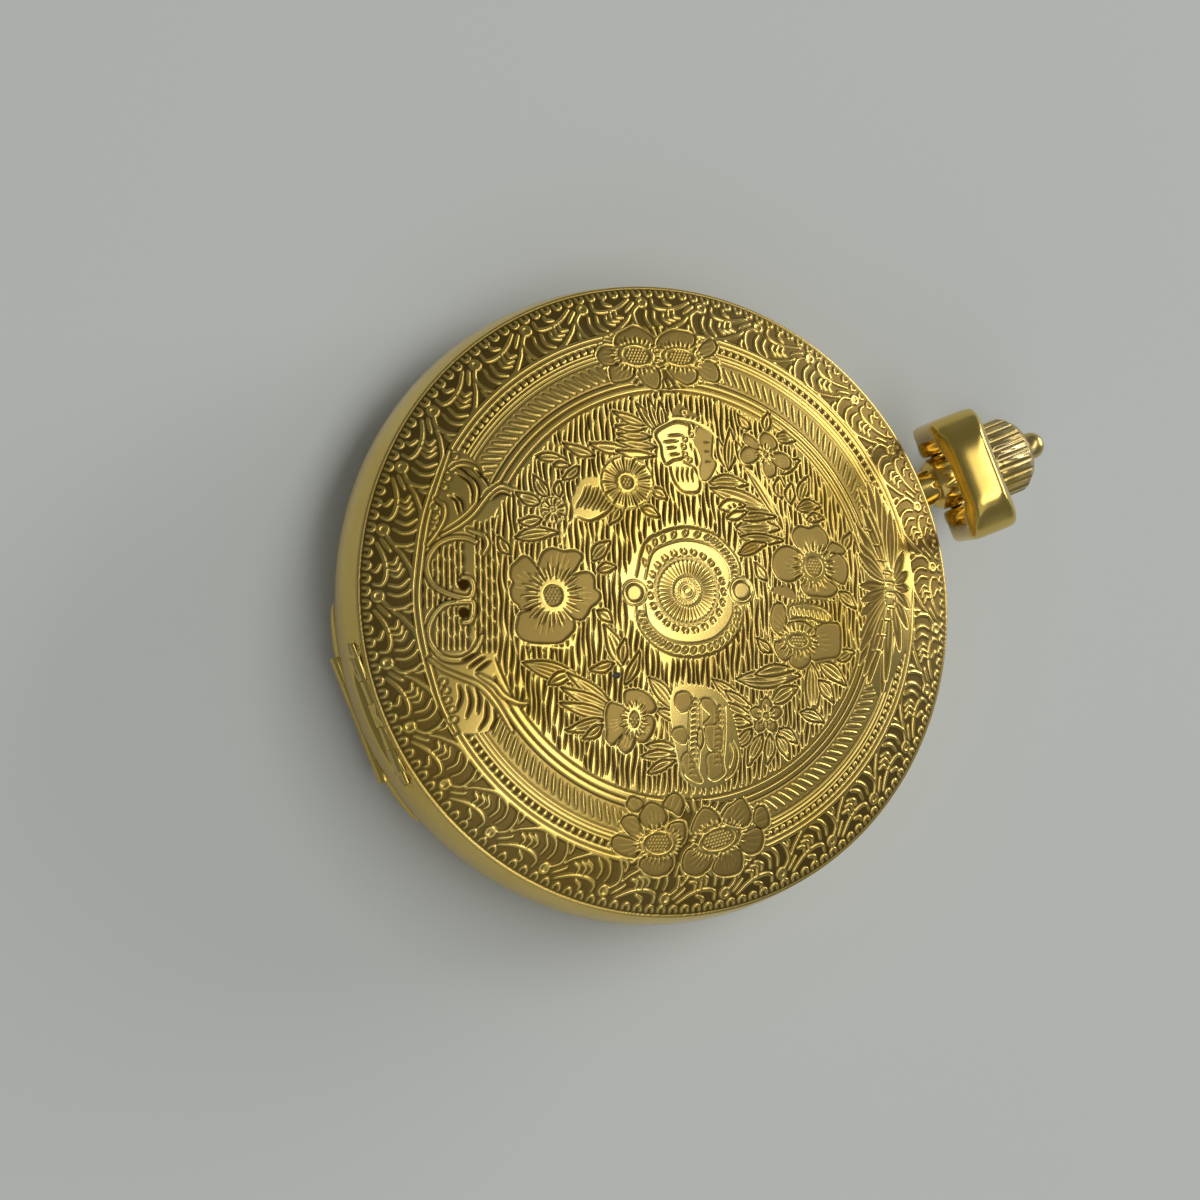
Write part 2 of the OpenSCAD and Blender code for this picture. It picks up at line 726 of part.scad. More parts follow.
module second_hand() {
    z = face_z + 0.12;
    color(blued) at(fourth_at) difference() {
        union() {
            disc(0.42, z, 0.12);
            translate([0, 0, z]) linear_extrude(height = 0.1)
                polygon([[-0.18, -1.3], [-0.06, second_len], [0.06, second_len], [0.18, -1.3]]);
        }
        disc(seconds_arbor_r, z - 1, 3);
    }
}

// Plates and bridges
case_screw_angles = [38, 142, 250];
// Screws of the barrel bridge, train bridge and balance cock, with their feet
screw_at_r = plate_r - screw_in;
barrel_bridge_screws = [for (a = [60, 182, 112]) spot(screw_at_r, a)];
train_bridge_screws = [for (a = [-8, -82]) spot(screw_at_r, a)];
cock_angle = atan2(balance_at[1], balance_at[0]);
cock_foot = spot(cock_foot_r, cock_angle);
pallet_feet = [pallet_at + [-1.63, -2.64], pallet_at + [-3.2, -1.6]];
bridge_r = plate_r - bridge_in;
bridge_far = plate_r + 5;

function holes_in_plate() = [third_at, escape_at, pallet_at, balance_at];

module foot(p) {
    at(p) disc(foot_r, train_z, train_h + 0.01);
}

module mainplate() {
    color(brass) difference() {
        union() {
            disc(plate_r, plate_z, plate_t);
            for (p = concat(barrel_bridge_screws, train_bridge_screws)) foot(p);
            at(cock_foot) disc(foot_r, cock_z + cock_t, plate_z - cock_z - cock_t + 0.01);
            for (p = pallet_feet) at(p) disc(0.65, escape_z, plate_z - escape_z + 0.01);
            // bearing block of the stem
            translate([-2.2, block_y, train_z]) cube([4.4, plate_r - 0.8 - block_y, train_h + 0.01]);
            // post of the minute wheel
            at(minute_at) disc(0.3, motion_z - 0.1, motion_h - 0.05);
        }
        // bores for the stem and its wheels
        along_stem(stem_in_y - 1) cylinder(r = stem_r + pin_gap, h = 30);
        along_stem(clutch_y - 1.2) cylinder(r = pinion_r + 0.2, h = winding_y - clutch_y + 3);
        // jewel seats and pivot holes
        for (p = holes_in_plate()) at(p) disc(jewel_r, plate_z - 1, plate_t + 2);
        disc(arbor_r + pin_gap, plate_z - 1, plate_t + 2);
        at(fourth_at) disc(jewel_r, plate_z - 1, plate_t + 2);
        at(barrel_at) disc(arbor_seat_r + pin_gap, plate_z - 1, plate_t + 2);
        // holes of the dial feet
        for (a = dial_foot_angles) at(spot(dial_r - 2.4, a)) disc(0.42, motion_z - 1.1, 2);
        // threads
        for (p = concat(barrel_bridge_screws, train_bridge_screws)) at(p) disc(0.4, train_z - 1, 2.4);
        at(cock_foot) disc(0.4, cock_z, 3);
        for (p = pallet_feet) at(p) disc(0.25, escape_z - 1, 1.5);
        for (a = case_screw_angles) at(spot(plate_r + 0.9, a)) disc(1.35, plate_z - 1, 1.4);
    }
}

module plate_sector(r, z, h, points) {
    intersection() {
        disc(r, z, h);
        translate([0, 0, z - 1]) linear_extrude(height = h + 2) polygon(points);
    }
}

module barrel_bridge() {
    color(brass) difference() {
        plate_sector(bridge_r, bridge_z, bridge_t, [[-bridge_far, -2.6], [-12.5, -2.6],
            [-9, 0.6], [-3, 2.4], [bridge_far, 2.4], [bridge_far, bridge_far], [-bridge_far, bridge_far]]);
        // room over the winding pinion and the clutch
        along_stem(clutch_y - 1.2) cylinder(r = pinion_r + 0.2, h = winding_y - clutch_y + 3);
        translate([-2.4, winding_y - 0.2, bridge_z - 1]) cube([4.8, 2.1, bridge_t + 2]);
        // seat of the barrel arbor, and threads
        at(barrel_at) disc(arbor_seat_r + pin_gap, bridge_z - 1, bridge_t + 2);
        at(crown_wheel_at) disc(0.5, bridge_z - 1, bridge_t + 2);
        at(click_at) disc(0.3 + pin_gap, bridge_z - 1, bridge_t + 2);
        for (p = barrel_bridge_screws) {
            at(p) disc(0.45, bridge_z - 1, bridge_t + 2);
            at(p) disc(1.05, bridge_z - 1, 1.5);
        }
    }
}

module train_bridge() {
    color(brass) difference() {
        plate_sector(bridge_r, bridge_z, bridge_t,
            [[-2, 2.2], [bridge_far, 2.2], [bridge_far, -bridge_far], [-1.5, -bridge_far], [-1.5, -15],
             [-2.6, -13.4], [-2.2, -7.5], [-4, -1]]);
        at(balance_at) disc(balance_r + 0.35, bridge_z - 1, bridge_t + 2);
        disc(jewel_r, bridge_z - 1, bridge_t + 2);
        for (p = [third_at, fourth_at, escape_at]) at(p) disc(jewel_r, bridge_z - 1, bridge_t + 2);
        for (p = train_bridge_screws) {
            at(p) disc(0.45, bridge_z - 1, bridge_t + 2);
            at(p) disc(1.05, bridge_z - 1, 1.5);
        }
    }
}

module balance_cock() {
    reach = norm(balance_at);
    foot_at = norm(cock_foot);
    color(brass) {
        difference() {
            translate([0, 0, cock_z]) rotate([0, 0, cock_angle]) linear_extrude(height = cock_t)
                union() {
                    translate([reach, 0]) circle(r = 1.9);
                    polygon([[reach, -1.9], [foot_at - 1.2, -1.5], [foot_at - 1.2, -3.6],
                        [foot_at + 0.1, -3.4], [foot_at + 0.6, -2], [foot_at + 0.8, 0],
                        [foot_at + 0.6, 2], [foot_at + 0.1, 3.4], [foot_at - 1.2, 3.6],
                        [foot_at - 1.2, 1.5], [reach, 1.9]]);
                }
            at(balance_at) disc(jewel_r, cock_z - 1, cock_t + 2);
            at(cock_foot) disc(0.45, cock_z - 1, cock_t + 2);
            at(cock_foot) disc(1.05, cock_z - 1, 1.3);
        }
        // stud that holds the outer end of the hairspring
        at(balance_at + spot(hair_out + 0.4, cock_angle)) disc(0.25, cock_z + cock_t - 0.1, spring_z + 0.45 - cock_z - cock_t);
    }
}

module pallet_bridge() {
    color(brass) difference() {
        union() {
            at(pallet_at) disc(1.15, escape_z - 0.65, 0.4);
            for (p = pallet_feet) {
                at(p) disc(0.65, escape_z - 0.65, 0.6);
                at(pallet_at, escape_z - 0.65) linear_extrude(height = 0.4)
                    polygon([[-0.5, 0], [0.5, 0], p - pallet_at + [0.5, 0], p - pallet_at - [0.5, 0]]);
            }
        }
        at(pallet_at) disc(0.5, escape_z - 2, 3);
        for (p = pallet_feet) at(p) disc(0.25, escape_z - 2, 3);
    }
}

module jewel(p, z, h, bore) {
    at(p) ring(jewel_r, bore, z, h);
}

module plate_jewels() {
    color(ruby) {
        for (p = holes_in_plate()) jewel(p, plate_z + 0.1, 0.5, pivot_r + pivot_gap);
        jewel(fourth_at, plate_z + 0.1, 0.5, seconds_arbor_r + pivot_gap);
    }
}

module bridge_jewels() {
    color(ruby) {
        for (p = [[0, 0], third_at, fourth_at, escape_at])
            jewel(p, bridge_z + bridge_t - 0.55, 0.5, pivot_r + pivot_gap);
        jewel(balance_at, cock_z + 0.1, 0.5, pivot_r + pivot_gap);
        at(pallet_at) ring(0.5, pivot_r + pivot_gap, escape_z - 0.65, 0.4);
    }
}

module bridge_screws() {
    color(steel) {
        for (p = concat(barrel_bridge_screws, train_bridge_screws))
            screw(p, bridge_z + 0.02, 0.95, 0.45, 0.4, 1.8);
        screw(cock_foot, cock_z - 0.25, 0.95, 0.5, 0.4, 1.8);
        for (p = pallet_feet) screw(p, escape_z - 0.83, 0.5, 0.18, 0.25, 0.8);
        screw(click_at, winding_z - 0.2, 0.6, 0.25, 0.3, 1.2);
    }
}

module case_screws() {
    color(steel) for (a = case_screw_angles)
        screw(spot(plate_r + 0.9, a), shoulder_h - 0.4, 1.25, 0.38, 0.45, 0.8);
}

// Going barrel and winding wheels
drum_r = m_barrel * barrel_n / 2 - 0.7;
drum_in_r = drum_r - 0.4;
arbor_seat_r = 0.9;
arbor_hub_r = 1.9;
floor_t = 0.25;

module barrel_drum() {
    turn = barrel_angle + 180;
    color(brass) at(barrel_at) difference() {
        union() {
            gear(barrel_n, m_barrel, turn, barrel_z, barrel_tooth_t);
            disc(drum_r, barrel_z, barrel_h - floor_t);
        }
        disc(drum_in_r, barrel_z + floor_t, 5);
        disc(arbor_seat_r + pin_gap, barrel_z - 1, 5);
    }
}

module barrel_cover() {
    color(brass) at(barrel_at) ring(drum_r, arbor_seat_r + pin_gap, barrel_z + barrel_h - floor_t, floor_t);
}

module barrel_arbor() {
    color(steel) at(barrel_at) {
        disc(arbor_seat_r, bridge_z - 0.05, plate_z + 1.2 - bridge_z);
        disc(arbor_hub_r, barrel_z + 0.3, barrel_h - 0.6);
        disc(0.6, winding_z - 0.05, winding_t + 0.2);
        disc(1.3, winding_z - 0.3, 0.28);
    }
}

// A spiral strip, from radius a to radius b over the given turns
function spiral(a, b, turns, n) = [for (i = [0:n]) spot(a + (b - a) * i / n, 360 * turns * i / n)];

module spiral_strip(a, b, turns, t, z, h, n) {
    translate([0, 0, z]) linear_extrude(height = h)
        polygon(concat(spiral(a, b, turns, n), [for (i = [n:-1:0]) spiral(a + t, b + t, turns, n)[i]]));
}

module mainspring() {
    color(steel) at(barrel_at) spiral_strip(arbor_hub_r + 0.15, drum_in_r - 0.3, 7, 0.2, barrel_z + 0.35, barrel_h - 0.7, 200);
}

ratchet_dir = atan2(crown_wheel_at[1] - barrel_at[1], crown_wheel_at[0] - barrel_at[0]);

module ratchet_wheel() {
    color(steel) at(barrel_at) difference() {
        gear(ratchet_n, m_winding, ratchet_dir, winding_z, winding_t);
        disc(0.6, winding_z - 1, 3);
    }
}

module crown_wheel() {
    color(steel) at(crown_wheel_at) difference() {
        gear(crown_n, m_winding, gap_turn(crown_n, ratchet_dir + 180), winding_z, winding_t);
        disc(1 + pin_gap, winding_z - 1, 3);
    }
}

module crown_wheel_screw() {
    color(steel) at(crown_wheel_at) difference() {
        union() {
            disc(1, winding_z - 0.05, winding_t + slack + 0.05);
            disc(1.6, winding_z - 0.35, 0.3);
            disc(0.5, bridge_z - 0.05, 0.6);
        }
        translate([-2, -0.12, winding_z - 1.35]) cube([4, 0.24, 1.15]);
    }
}

module click() {
    color(steel) at(click_at) rotate([0, 0, click_angle + 180]) difference() {
        union() {
            disc(click_r, winding_z + 0.05, winding_t - 0.1);
            translate([0, 0, winding_z + 0.05]) linear_extrude(height = winding_t - 0.1)
                polygon([[0, -0.8], [click_pivot - ratchet_tip - 0.08, -0.12],
                    [click_pivot - ratchet_tip - 0.08, 0.12], [0, 0.5]]);
        }
        disc(0.3 + pin_gap, winding_z - 1, 3);
    }
}

ratchet_tip = m_winding * (ratchet_n / 2 + 0.85);

module click_spring() {
    r = click_r + 0.12;
    color(steel) at(click_at) {
        translate([0, 0, bridge_z - 0.45]) linear_extrude(height = 0.35)
            polygon(concat(arc([0, 0], r + 0.2, 20, 170, 24), arc([0, 0], r, 170, 20, 24)));
        at(spot(r + 0.25, 22)) disc(0.3, bridge_z - 0.45, 0.45);
    }
}

// Going train
module pinion(n, m, turn, z, h) {
    gear(n, m, turn, z, h);
}

// A slim arbor with a pivot at each end
module pivoted(r, z0, z1, p0, p1) {
    disc(r, z0, z1 - z0);
    disc(pivot_r, p0, p1 - p0);
}

module centre_wheel() {
    color(gilt) crossed_wheel(centre_n, m_centre, third_turn - 90, centre_z, wheel_t, 1, 0.6, 5);
}

module centre_pinion() {
    color(steel) {
        gear(centre_pinion_n, m_barrel, gap_turn(centre_pinion_n, barrel_angle), barrel_z, 1.5);
        disc(0.6, barrel_z, centre_z + wheel_t + 0.15 - barrel_z);
        disc(pivot_r, bridge_z + bridge_t - 0.5, 1);
        disc(arbor_r, centre_z, face_z + 0.8 - centre_z);
    }
}

module cannon_pinion() {
    color(steel) difference() {
        union() {
            gear(cannon_n, m_motion, 45, motion_z + 0.1, 0.35);
            disc(cannon_r, motion_z + 0.1, face_z + 0.9 - motion_z - 0.1);
        }
        disc(arbor_r + 0.005, motion_z - 1, 5);
    }
}

minute_wheel_z = motion_z + 0.12;

module minute_wheel() {
    color(gilt) at(minute_at) difference() {
        union() {
            gear(minute_n, m_motion, gap_turn(minute_n, 225), minute_wheel_z, 0.18);
            gear(minute_pinion_n, m_motion, 225, minute_wheel_z, motion_h - 0.25);
        }
        disc(0.3 + pin_gap, motion_z - 1, 3);
    }
}

module hour_wheel() {
    color(gilt) difference() {
        union() {
            gear(hour_n, m_motion, gap_turn(hour_n, 45), motion_z + 0.5, 0.18);
            disc(hour_tube_r, motion_z + 0.5, face_z + 0.5 - motion_z - 0.5);
        }
        disc(cannon_r + pin_gap, motion_z - 1, 5);
    }
}

third_dir = atan2(fourth_at[1] - third_at[1], fourth_at[0] - third_at[0]);

module third_wheel() {
    color(gilt) at(third_at) crossed_wheel(third_n, m_third, third_dir, third_z, wheel_t, 0.9, 0.3, 5);
}

module third_pinion() {
    color(steel) at(third_at) {
        gear(third_pinion_n, m_centre, gap_turn(third_pinion_n, third_turn + 90), fourth_z, 0.8);
        pivoted(0.3, train_z + 0.1, plate_z - 0.1, bridge_z + bridge_t - 0.5, plate_z + 0.55);
    }
}

module fourth_wheel() {
    color(gilt) at(fourth_at)
        crossed_wheel(fourth_n, m_fourth, escape_angle, fourth_z, wheel_t, 0.75, 0.3, 5);
}

module fourth_pinion() {
    color(steel) at(fourth_at) {
        gear(fourth_pinion_n, m_third, gap_turn(fourth_pinion_n, third_dir + 180), train_z + 0.3, 1.1);
        pivoted(0.3, train_z + 0.1, plate_z - 0.1, bridge_z + bridge_t - 0.5, plate_z);
        disc(seconds_arbor_r, plate_z - 0.2, face_z + 0.26 - plate_z);
    }
}

// Escape wheel with pointed teeth that lean forward
module escape_wheel() {
    root = escape_r * 0.72;
    step = 360 / escape_n;
    color(gilt) at(escape_at) difference() {
        translate([0, 0, escape_z]) linear_extrude(height = wheel_t)
            polygon([for (i = [0:escape_n - 1])
                for (k = [[root, -0.22], [escape_r, 0.28], [escape_r, 0.36], [root, 0.3]])
                    spot(k[0], step * (i + k[1]))]);
        difference() {
            disc(root - 0.35, escape_z - 1, 3);
            disc(0.6, escape_z - 2, 5);
            for (i = [0:3]) rotate([0, 0, 90 * i + 20]) translate([0, -0.15, escape_z - 2]) cube([3, 0.3, 5]);
        }
        disc(0.22, escape_z - 1, 3);
    }
}

module escape_pinion() {
    color(steel) at(escape_at) {
        gear(escape_pinion_n, m_fourth, gap_turn(escape_pinion_n, escape_angle + 180), train_z + 1.3, 0.9);
        pivoted(0.22, train_z + 0.1, plate_z - 0.1, bridge_z + bridge_t - 0.5, plate_z + 0.55);
    }
}

// Lever, drawn with its arbor at the origin and the balance along +X
stone_turn = 52;
stone_gap = 0.06;

module pallet_fork() {
    notch = pallet_to_balance - 1.02;
    reach = 1.75;
    color(steel) at(pallet_at) {
        rotate([0, 0, lever_angle]) difference() {
            translate([0, 0, lever_z]) linear_extrude(height = wheel_t) union() {
                polygon([[-0.35, -0.35], [0.6, -0.28], [notch - 0.7, -0.17], [notch - 0.35, -0.4],
                    [notch, -0.5], [notch, 0.5], [notch - 0.35, 0.4], [notch - 0.7, 0.17], [0.6, 0.28],
                    [-0.35, 0.35]]);
                for (s = [-1, 1]) polygon([[0.25, s * 0.1], [-0.35, s * (reach - 0.1)],
                    [-0.75, s * (reach + 0.1)], [-0.35, s * 0.1]]);
            }
            translate([notch - 0.45, -0.14, lever_z - 1]) cube([1, 0.28, 3]);
        }
        disc(0.2, escape_z - 0.2, plate_z + 0.1 - escape_z);
        disc(pivot_r, escape_z - 0.6, plate_z + 1.15 - escape_z);
    }
}

module pallet_stones() {
    color(ruby) for (s = [-1, 1]) at(escape_at) rotate([0, 0, lever_angle + s * stone_turn * 0.62])
        translate([escape_r + stone_gap, -0.16, lever_z - 0.12 + wheel_t]) cube([0.75, 0.32, 0.3]);
}

module balance_wheel() {
    rim = balance_r - 0.45;
    color(gilt) at(balance_at) difference() {
        union() {
            ring(rim, rim - 0.5, balance_z, balance_t);
            rotate([0, 0, 30]) translate([-rim + 0.2, -0.3, balance_z]) cube([2 * rim - 0.4, 0.6, 0.25]);
            disc(0.7, balance_z, 0.3);
        }
        disc(0.35, balance_z - 1, 3);
    }
}

module balance_screws() {
    rim = balance_r - 0.45;
    color(gilt) for (i = [0:15]) at(balance_at, balance_z + balance_t / 2)
        rotate([0, 0, 22.5 * i + 30]) rotate([0, 90, 0]) translate([0, 0, rim - 0.03]) cylinder(r = 0.22, h = 0.45);
}

module balance_staff() {
    color(steel) at(balance_at) {
        disc(0.35, spring_z - 0.05, roller_z + 0.2 - spring_z);
        disc(pivot_r, cock_z + 0.15, plate_z + 0.55 - cock_z - 0.15);
        disc(0.25, roller_z, plate_z - 0.1 - roller_z);
    }
}

module roller() {
    color(steel) at(balance_at) {
        ring(1, 0.35, roller_z, 0.2);
        rotate([0, 0, lever_angle + 180]) translate([0.78, 0, 0]) disc(0.1, roller_z + 0.15, 0.85);
    }
}

hair_in = 0.75;
hair_out = 2.55;

module hairspring() {
    color(blued) at(balance_at) rotate([0, 0, cock_angle])
        spiral_strip(hair_in, hair_out, 8, 0.06, spring_z, 0.2, 240);
}

module regulator() {
    color(steel) at(balance_at) rotate([0, 0, cock_angle + 180]) difference() {
        union() {
            ring(1.35, jewel_r + 0.05, cock_z - 0.3, 0.25);
            translate([1.2, -0.2, cock_z - 0.3]) cube([2.6, 0.4, 0.25]);
            translate([3.4, 0, 0]) disc(0.4, cock_z - 0.3, 0.25);
        }
        disc(jewel_r + 0.05, cock_z - 1, 2);
    }
}

case_middle();
pendant();
back_cover();
back_hinge_pin();
front_cover();
front_hinge_pin();
bow();
bow_screws();
crown();
crown_button();
winding_stem();
lock_spring();
lift_spring();
bezel();
crystal();
dial();
hour_hand();
minute_hand();
second_hand();
mainplate();
barrel_bridge();
train_bridge();
balance_cock();
pallet_bridge();
plate_jewels();
bridge_jewels();
bridge_screws();
case_screws();
barrel_drum();
barrel_cover();
barrel_arbor();
mainspring();
ratchet_wheel();
crown_wheel();
crown_wheel_screw();
click();
click_spring();
winding_pinion();
clutch_wheel();
setting_lever();
centre_wheel();
centre_pinion();
cannon_pinion();
minute_wheel();
hour_wheel();
third_wheel();
third_pinion();
fourth_wheel();
fourth_pinion();
escape_wheel();
escape_pinion();
pallet_fork();
pallet_stones();
balance_wheel();
balance_screws();
balance_staff();
roller();
hairspring();
regulator();
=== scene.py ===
# Full hunter pocket watch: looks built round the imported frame
import json
import math

import bpy
import numpy as np
from mathutils import Matrix, Vector

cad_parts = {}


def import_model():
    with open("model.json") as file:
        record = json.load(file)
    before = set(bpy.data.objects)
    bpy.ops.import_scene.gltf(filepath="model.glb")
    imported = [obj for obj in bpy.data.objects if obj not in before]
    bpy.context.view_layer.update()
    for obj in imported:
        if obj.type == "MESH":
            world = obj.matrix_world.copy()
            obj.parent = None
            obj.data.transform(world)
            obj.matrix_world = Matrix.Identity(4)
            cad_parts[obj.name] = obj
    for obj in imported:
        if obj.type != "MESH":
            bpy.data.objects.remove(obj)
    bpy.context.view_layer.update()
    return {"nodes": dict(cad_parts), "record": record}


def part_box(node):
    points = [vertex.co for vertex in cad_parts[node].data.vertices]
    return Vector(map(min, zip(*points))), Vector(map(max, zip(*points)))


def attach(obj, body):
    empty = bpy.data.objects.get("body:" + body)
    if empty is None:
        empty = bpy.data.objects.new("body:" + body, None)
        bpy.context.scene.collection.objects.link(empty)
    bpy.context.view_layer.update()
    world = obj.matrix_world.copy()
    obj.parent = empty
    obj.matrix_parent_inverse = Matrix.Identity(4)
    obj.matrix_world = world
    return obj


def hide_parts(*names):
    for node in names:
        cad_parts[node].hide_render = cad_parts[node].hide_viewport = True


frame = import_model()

MM = 0.001

# Sizes of the case, in millimetres
COVER_R = 24.0
DOME_H = 4.6
DOME_CURVE = 0.8
RIM_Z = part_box("front_cover")[1].z / MM - DOME_H
EDGE_Z = RIM_Z - 0.35
WALL_R = 24.1
FACE_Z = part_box("dial")[1].z / MM
# The ornament is turned against the stem, by this many degrees
ORNAMENT_TURN = 68.2
# Depth of the engraving, and how far its deepest cuts stand over the solid cover
CUT_DEPTH = 0.12
SKIN_LIFT = 0.03

# Colours of the finishes
GOLD = (0.68, 0.475, 0.105)
GOLD_PALE = (0.76, 0.565, 0.175)
GOLD_DEEP = (0.36, 0.25, 0.07)
GOLD_WORN = (0.60, 0.48, 0.25)
# Brown painted into the cuts as shade
GROOVE_SHADE_BROWN = (0.05, 0.023, 0.003)
SOIL_BLACK = (0.012, 0.010, 0.008)
STEEL_GREY = (0.56, 0.56, 0.58)
SPRING_GREY = (0.42, 0.43, 0.47)
BLUE_DARK = (0.012, 0.028, 0.20)
BLUE_BRIGHT = (0.03, 0.035, 0.30)
GILT_PALE = (0.78, 0.55, 0.22)
GILT_DEEP = (0.70, 0.45, 0.16)
STRIPE_PALE = (0.80, 0.58, 0.25)
STRIPE_DEEP = (0.68, 0.46, 0.17)
RUBY_DARK = (0.42, 0.01, 0.05)
RUBY_BRIGHT = (0.62, 0.03, 0.10)
ENAMEL_SHADE = (0.80, 0.79, 0.75)
ENAMEL_WHITE = (0.86, 0.85, 0.82)
PRINT_BLACK = (0.012, 0.012, 0.014)
PRINT_GREY = (0.022, 0.021, 0.022)
FLOOR_SHADE = (0.635, 0.665, 0.655)
FLOOR_PALE = (0.66, 0.69, 0.68)
ROOM_LIGHT = (0.94, 0.98, 1.0)
ROOM_STRENGTH = 0.17


# Shader tools
class Sock:
    """A shader socket that takes part in sums."""

    def __init__(self, shader, out):
        self.shader = shader
        self.out = out

    def math(self, operation, first, second):
        return self.shader.node("ShaderNodeMath", {"operation": operation}, (first, second))

    def __add__(self, other):
        return self.math("ADD", self, other)

    def __sub__(self, other):
        return self.math("SUBTRACT", self, other)

    def __rsub__(self, other):
        return self.math("SUBTRACT", other, self)

    def __mul__(self, other):
        return self.math("MULTIPLY", self, other)

    __radd__ = __add__
    __rmul__ = __mul__


class Finish:
    """A material with one shader, and its nodes."""

    def __init__(self, name, **constants):
        self.material = bpy.data.materials.new(name)
        self.material.use_nodes = True
        self.tree = self.material.node_tree
        self.body = self.tree.nodes["Principled BSDF"]
        self.place = self.node("ShaderNodeTexCoord", out="Object")
        for key, value in constants.items():
            self.set(key, value)

    def feed(self, socket, value):
        """Links a socket to another one, or sets its constant."""
        if isinstance(value, Sock):
            self.tree.links.new(value.out, socket)
        elif socket.type == "RGBA":
            socket.default_value = (*value, 1)
        else:
            socket.default_value = value

    def set(self, name, value):
        self.feed(self.body.inputs[name.replace("_", " ")], value)

    def node(self, kind, settings=None, values=(), out=0):
        made = self.tree.nodes.new(kind)
        for key, value in (settings or {}).items():
            setattr(made, key, value)
        pairs = values.items() if isinstance(values, dict) else enumerate(values)
        for key, value in pairs:
            self.feed(made.inputs[key], value)
        return Sock(self, made.outputs[out])

    def noise(self, scale, detail=3.0, stretch=None):
        vector = self.place
        if stretch:
            vector = self.node("ShaderNodeMapping", {}, {"Vector": self.place, "Scale": stretch})
        return self.node("ShaderNodeTexNoise", {},
                         {"Vector": vector, "Scale": scale, "Detail": detail, "Roughness": 0.55})

    def mix(self, factor, first, second):
        return self.node("ShaderNodeMix", {"data_type": "RGBA"}, {0: factor, 6: first, 7: second}, out=2)

    def span(self, value, low, high, to_low=0.0, to_high=1.0):
        return self.node("ShaderNodeMapRange", {"clamp": True},
                         {0: value, 1: low, 2: high, 3: to_low, 4: to_high})

    def clouded(self, cloud, first, second, high=0.7):
        """A colour that drifts from one tone to another with a slow noise."""
        return self.mix(self.span(cloud, 0.35, high), first, second)

    def bump(self, height, strength, distance):
        self.set("Normal", self.node("ShaderNodeBump", {},
                                     {"Strength": strength, "Distance": distance, "Height": height}))

    def attribute(self, name):
        return self.node("ShaderNodeAttribute", {"attribute_name": name}, out="Fac")


def polished_gold():
    made = Finish("polished_gold", Metallic=1.0, Specular_IOR_Level=0.5)
    cloud = made.noise(130.0, 4.0)
    hairs = made.noise(900.0, 2.0, stretch=(1.0, 1.0, 0.25))
    made.set("Base_Color", made.clouded(cloud, GOLD_PALE, GOLD, 0.68))
    made.set("Roughness", made.span(cloud, 0.3, 0.75, 0.15, 0.25) + hairs * 0.04)
    made.bump(made.noise(420.0, 2.0), 0.12, 0.00008)
    return made.material


def worn_gold():
    made = Finish("worn_gold", Metallic=1.0)
    cloud = made.noise(300.0, 4.0)
    made.set("Base_Color", made.clouded(cloud, GOLD_WORN, GOLD))
    made.set("Roughness", cloud * 0.18 + 0.2)
    made.bump(made.noise(900.0, 2.0), 0.15, 0.00006)
    return made.material


def engraved_gold():
    """Gold with painted shade in the cuts, duller petals and one soiled spot, read from the sheet's
    attributes.
    """
    made = Finish("engraved_gold", Specular_IOR_Level=0.5)
    cut = made.attribute("cut")
    dull = made.attribute("dull")
    soil = made.attribute("soil")
    cloud = made.noise(110.0, 4.0)
    grain = made.noise(2600.0, 2.0)
    petal = made.mix(dull, made.clouded(cloud, GOLD_PALE, GOLD, 0.68), GOLD_DEEP)
    # Painted shade: the cuts are darkened towards brown by their depth, less so on the dull areas
    groove_shade = made.span(cut, 0.35, 1.0) * (1.0 - dull * 0.85)
    groove_shaded = made.mix(groove_shade, petal, GROOVE_SHADE_BROWN)
    made.set("Base_Color", made.mix(soil, groove_shaded, SOIL_BLACK))
    made.set("Metallic", 1.0 - soil * 0.9)
    made.set("Roughness", made.span(cloud, 0.3, 0.75, 0.18, 0.28) + dull * 0.12 + cut * 0.22 + grain * 0.04)
    made.bump(grain, 0.08, 0.00003)
    return made.material


def steel(name, colour, rough):
    made = Finish(name, Metallic=1.0)
    brushed = made.noise(1500.0, 2.0, stretch=(1.0, 0.06, 1.0))
    made.set("Base_Color", made.mix(made.noise(300.0), colour, tuple(c * 0.8 for c in colour)))
    made.set("Roughness", brushed * 0.16 + rough)
    made.bump(brushed, 0.1, 0.00004)
    return made.material


def blued():
    made = Finish("blued_steel", Metallic=1.0)
    cloud = made.noise(260.0, 2.0)
    made.set("Base_Color", made.clouded(cloud, BLUE_DARK, BLUE_BRIGHT))
    made.set("Roughness", cloud * 0.14 + 0.14)
    return made.material


def gilt(name, frosted):
    made = Finish(name, Metallic=1.0)
    cloud = made.noise(160.0, 4.0)
    grain = made.noise(3800.0 if frosted else 1400.0, 3.0)
    made.set("Base_Color", made.clouded(cloud, GILT_PALE, GILT_DEEP))
    made.set("Roughness", grain * 0.16 + (0.33 if frosted else 0.16))
    made.bump(grain, 0.4 if frosted else 0.06, 0.00005)
    return made.material


def striped_plate():
    made = Finish("striped_gilt", Metallic=1.0)
    wave = made.node("ShaderNodeTexWave", {"wave_profile": "SAW", "bands_direction": "DIAGONAL"},
                     {"Vector": made.place, "Scale": 110.0, "Distortion": 0.0})
    grain = made.noise(2400.0, 2.0, stretch=(1.0, 1.0, 0.2))
    made.set("Base_Color", made.mix(wave, STRIPE_PALE, STRIPE_DEEP))
    made.set("Roughness", wave * 0.12 + grain * 0.08 + 0.2)
    made.bump(wave + grain * 0.15, 0.35, 0.00012)
    return made.material


def ruby():
    made = Finish("ruby", Roughness=0.06, IOR=1.76, Coat_Weight=0.5)
    made.set("Base_Color", made.mix(made.noise(900.0), RUBY_DARK, RUBY_BRIGHT))
    return made.material


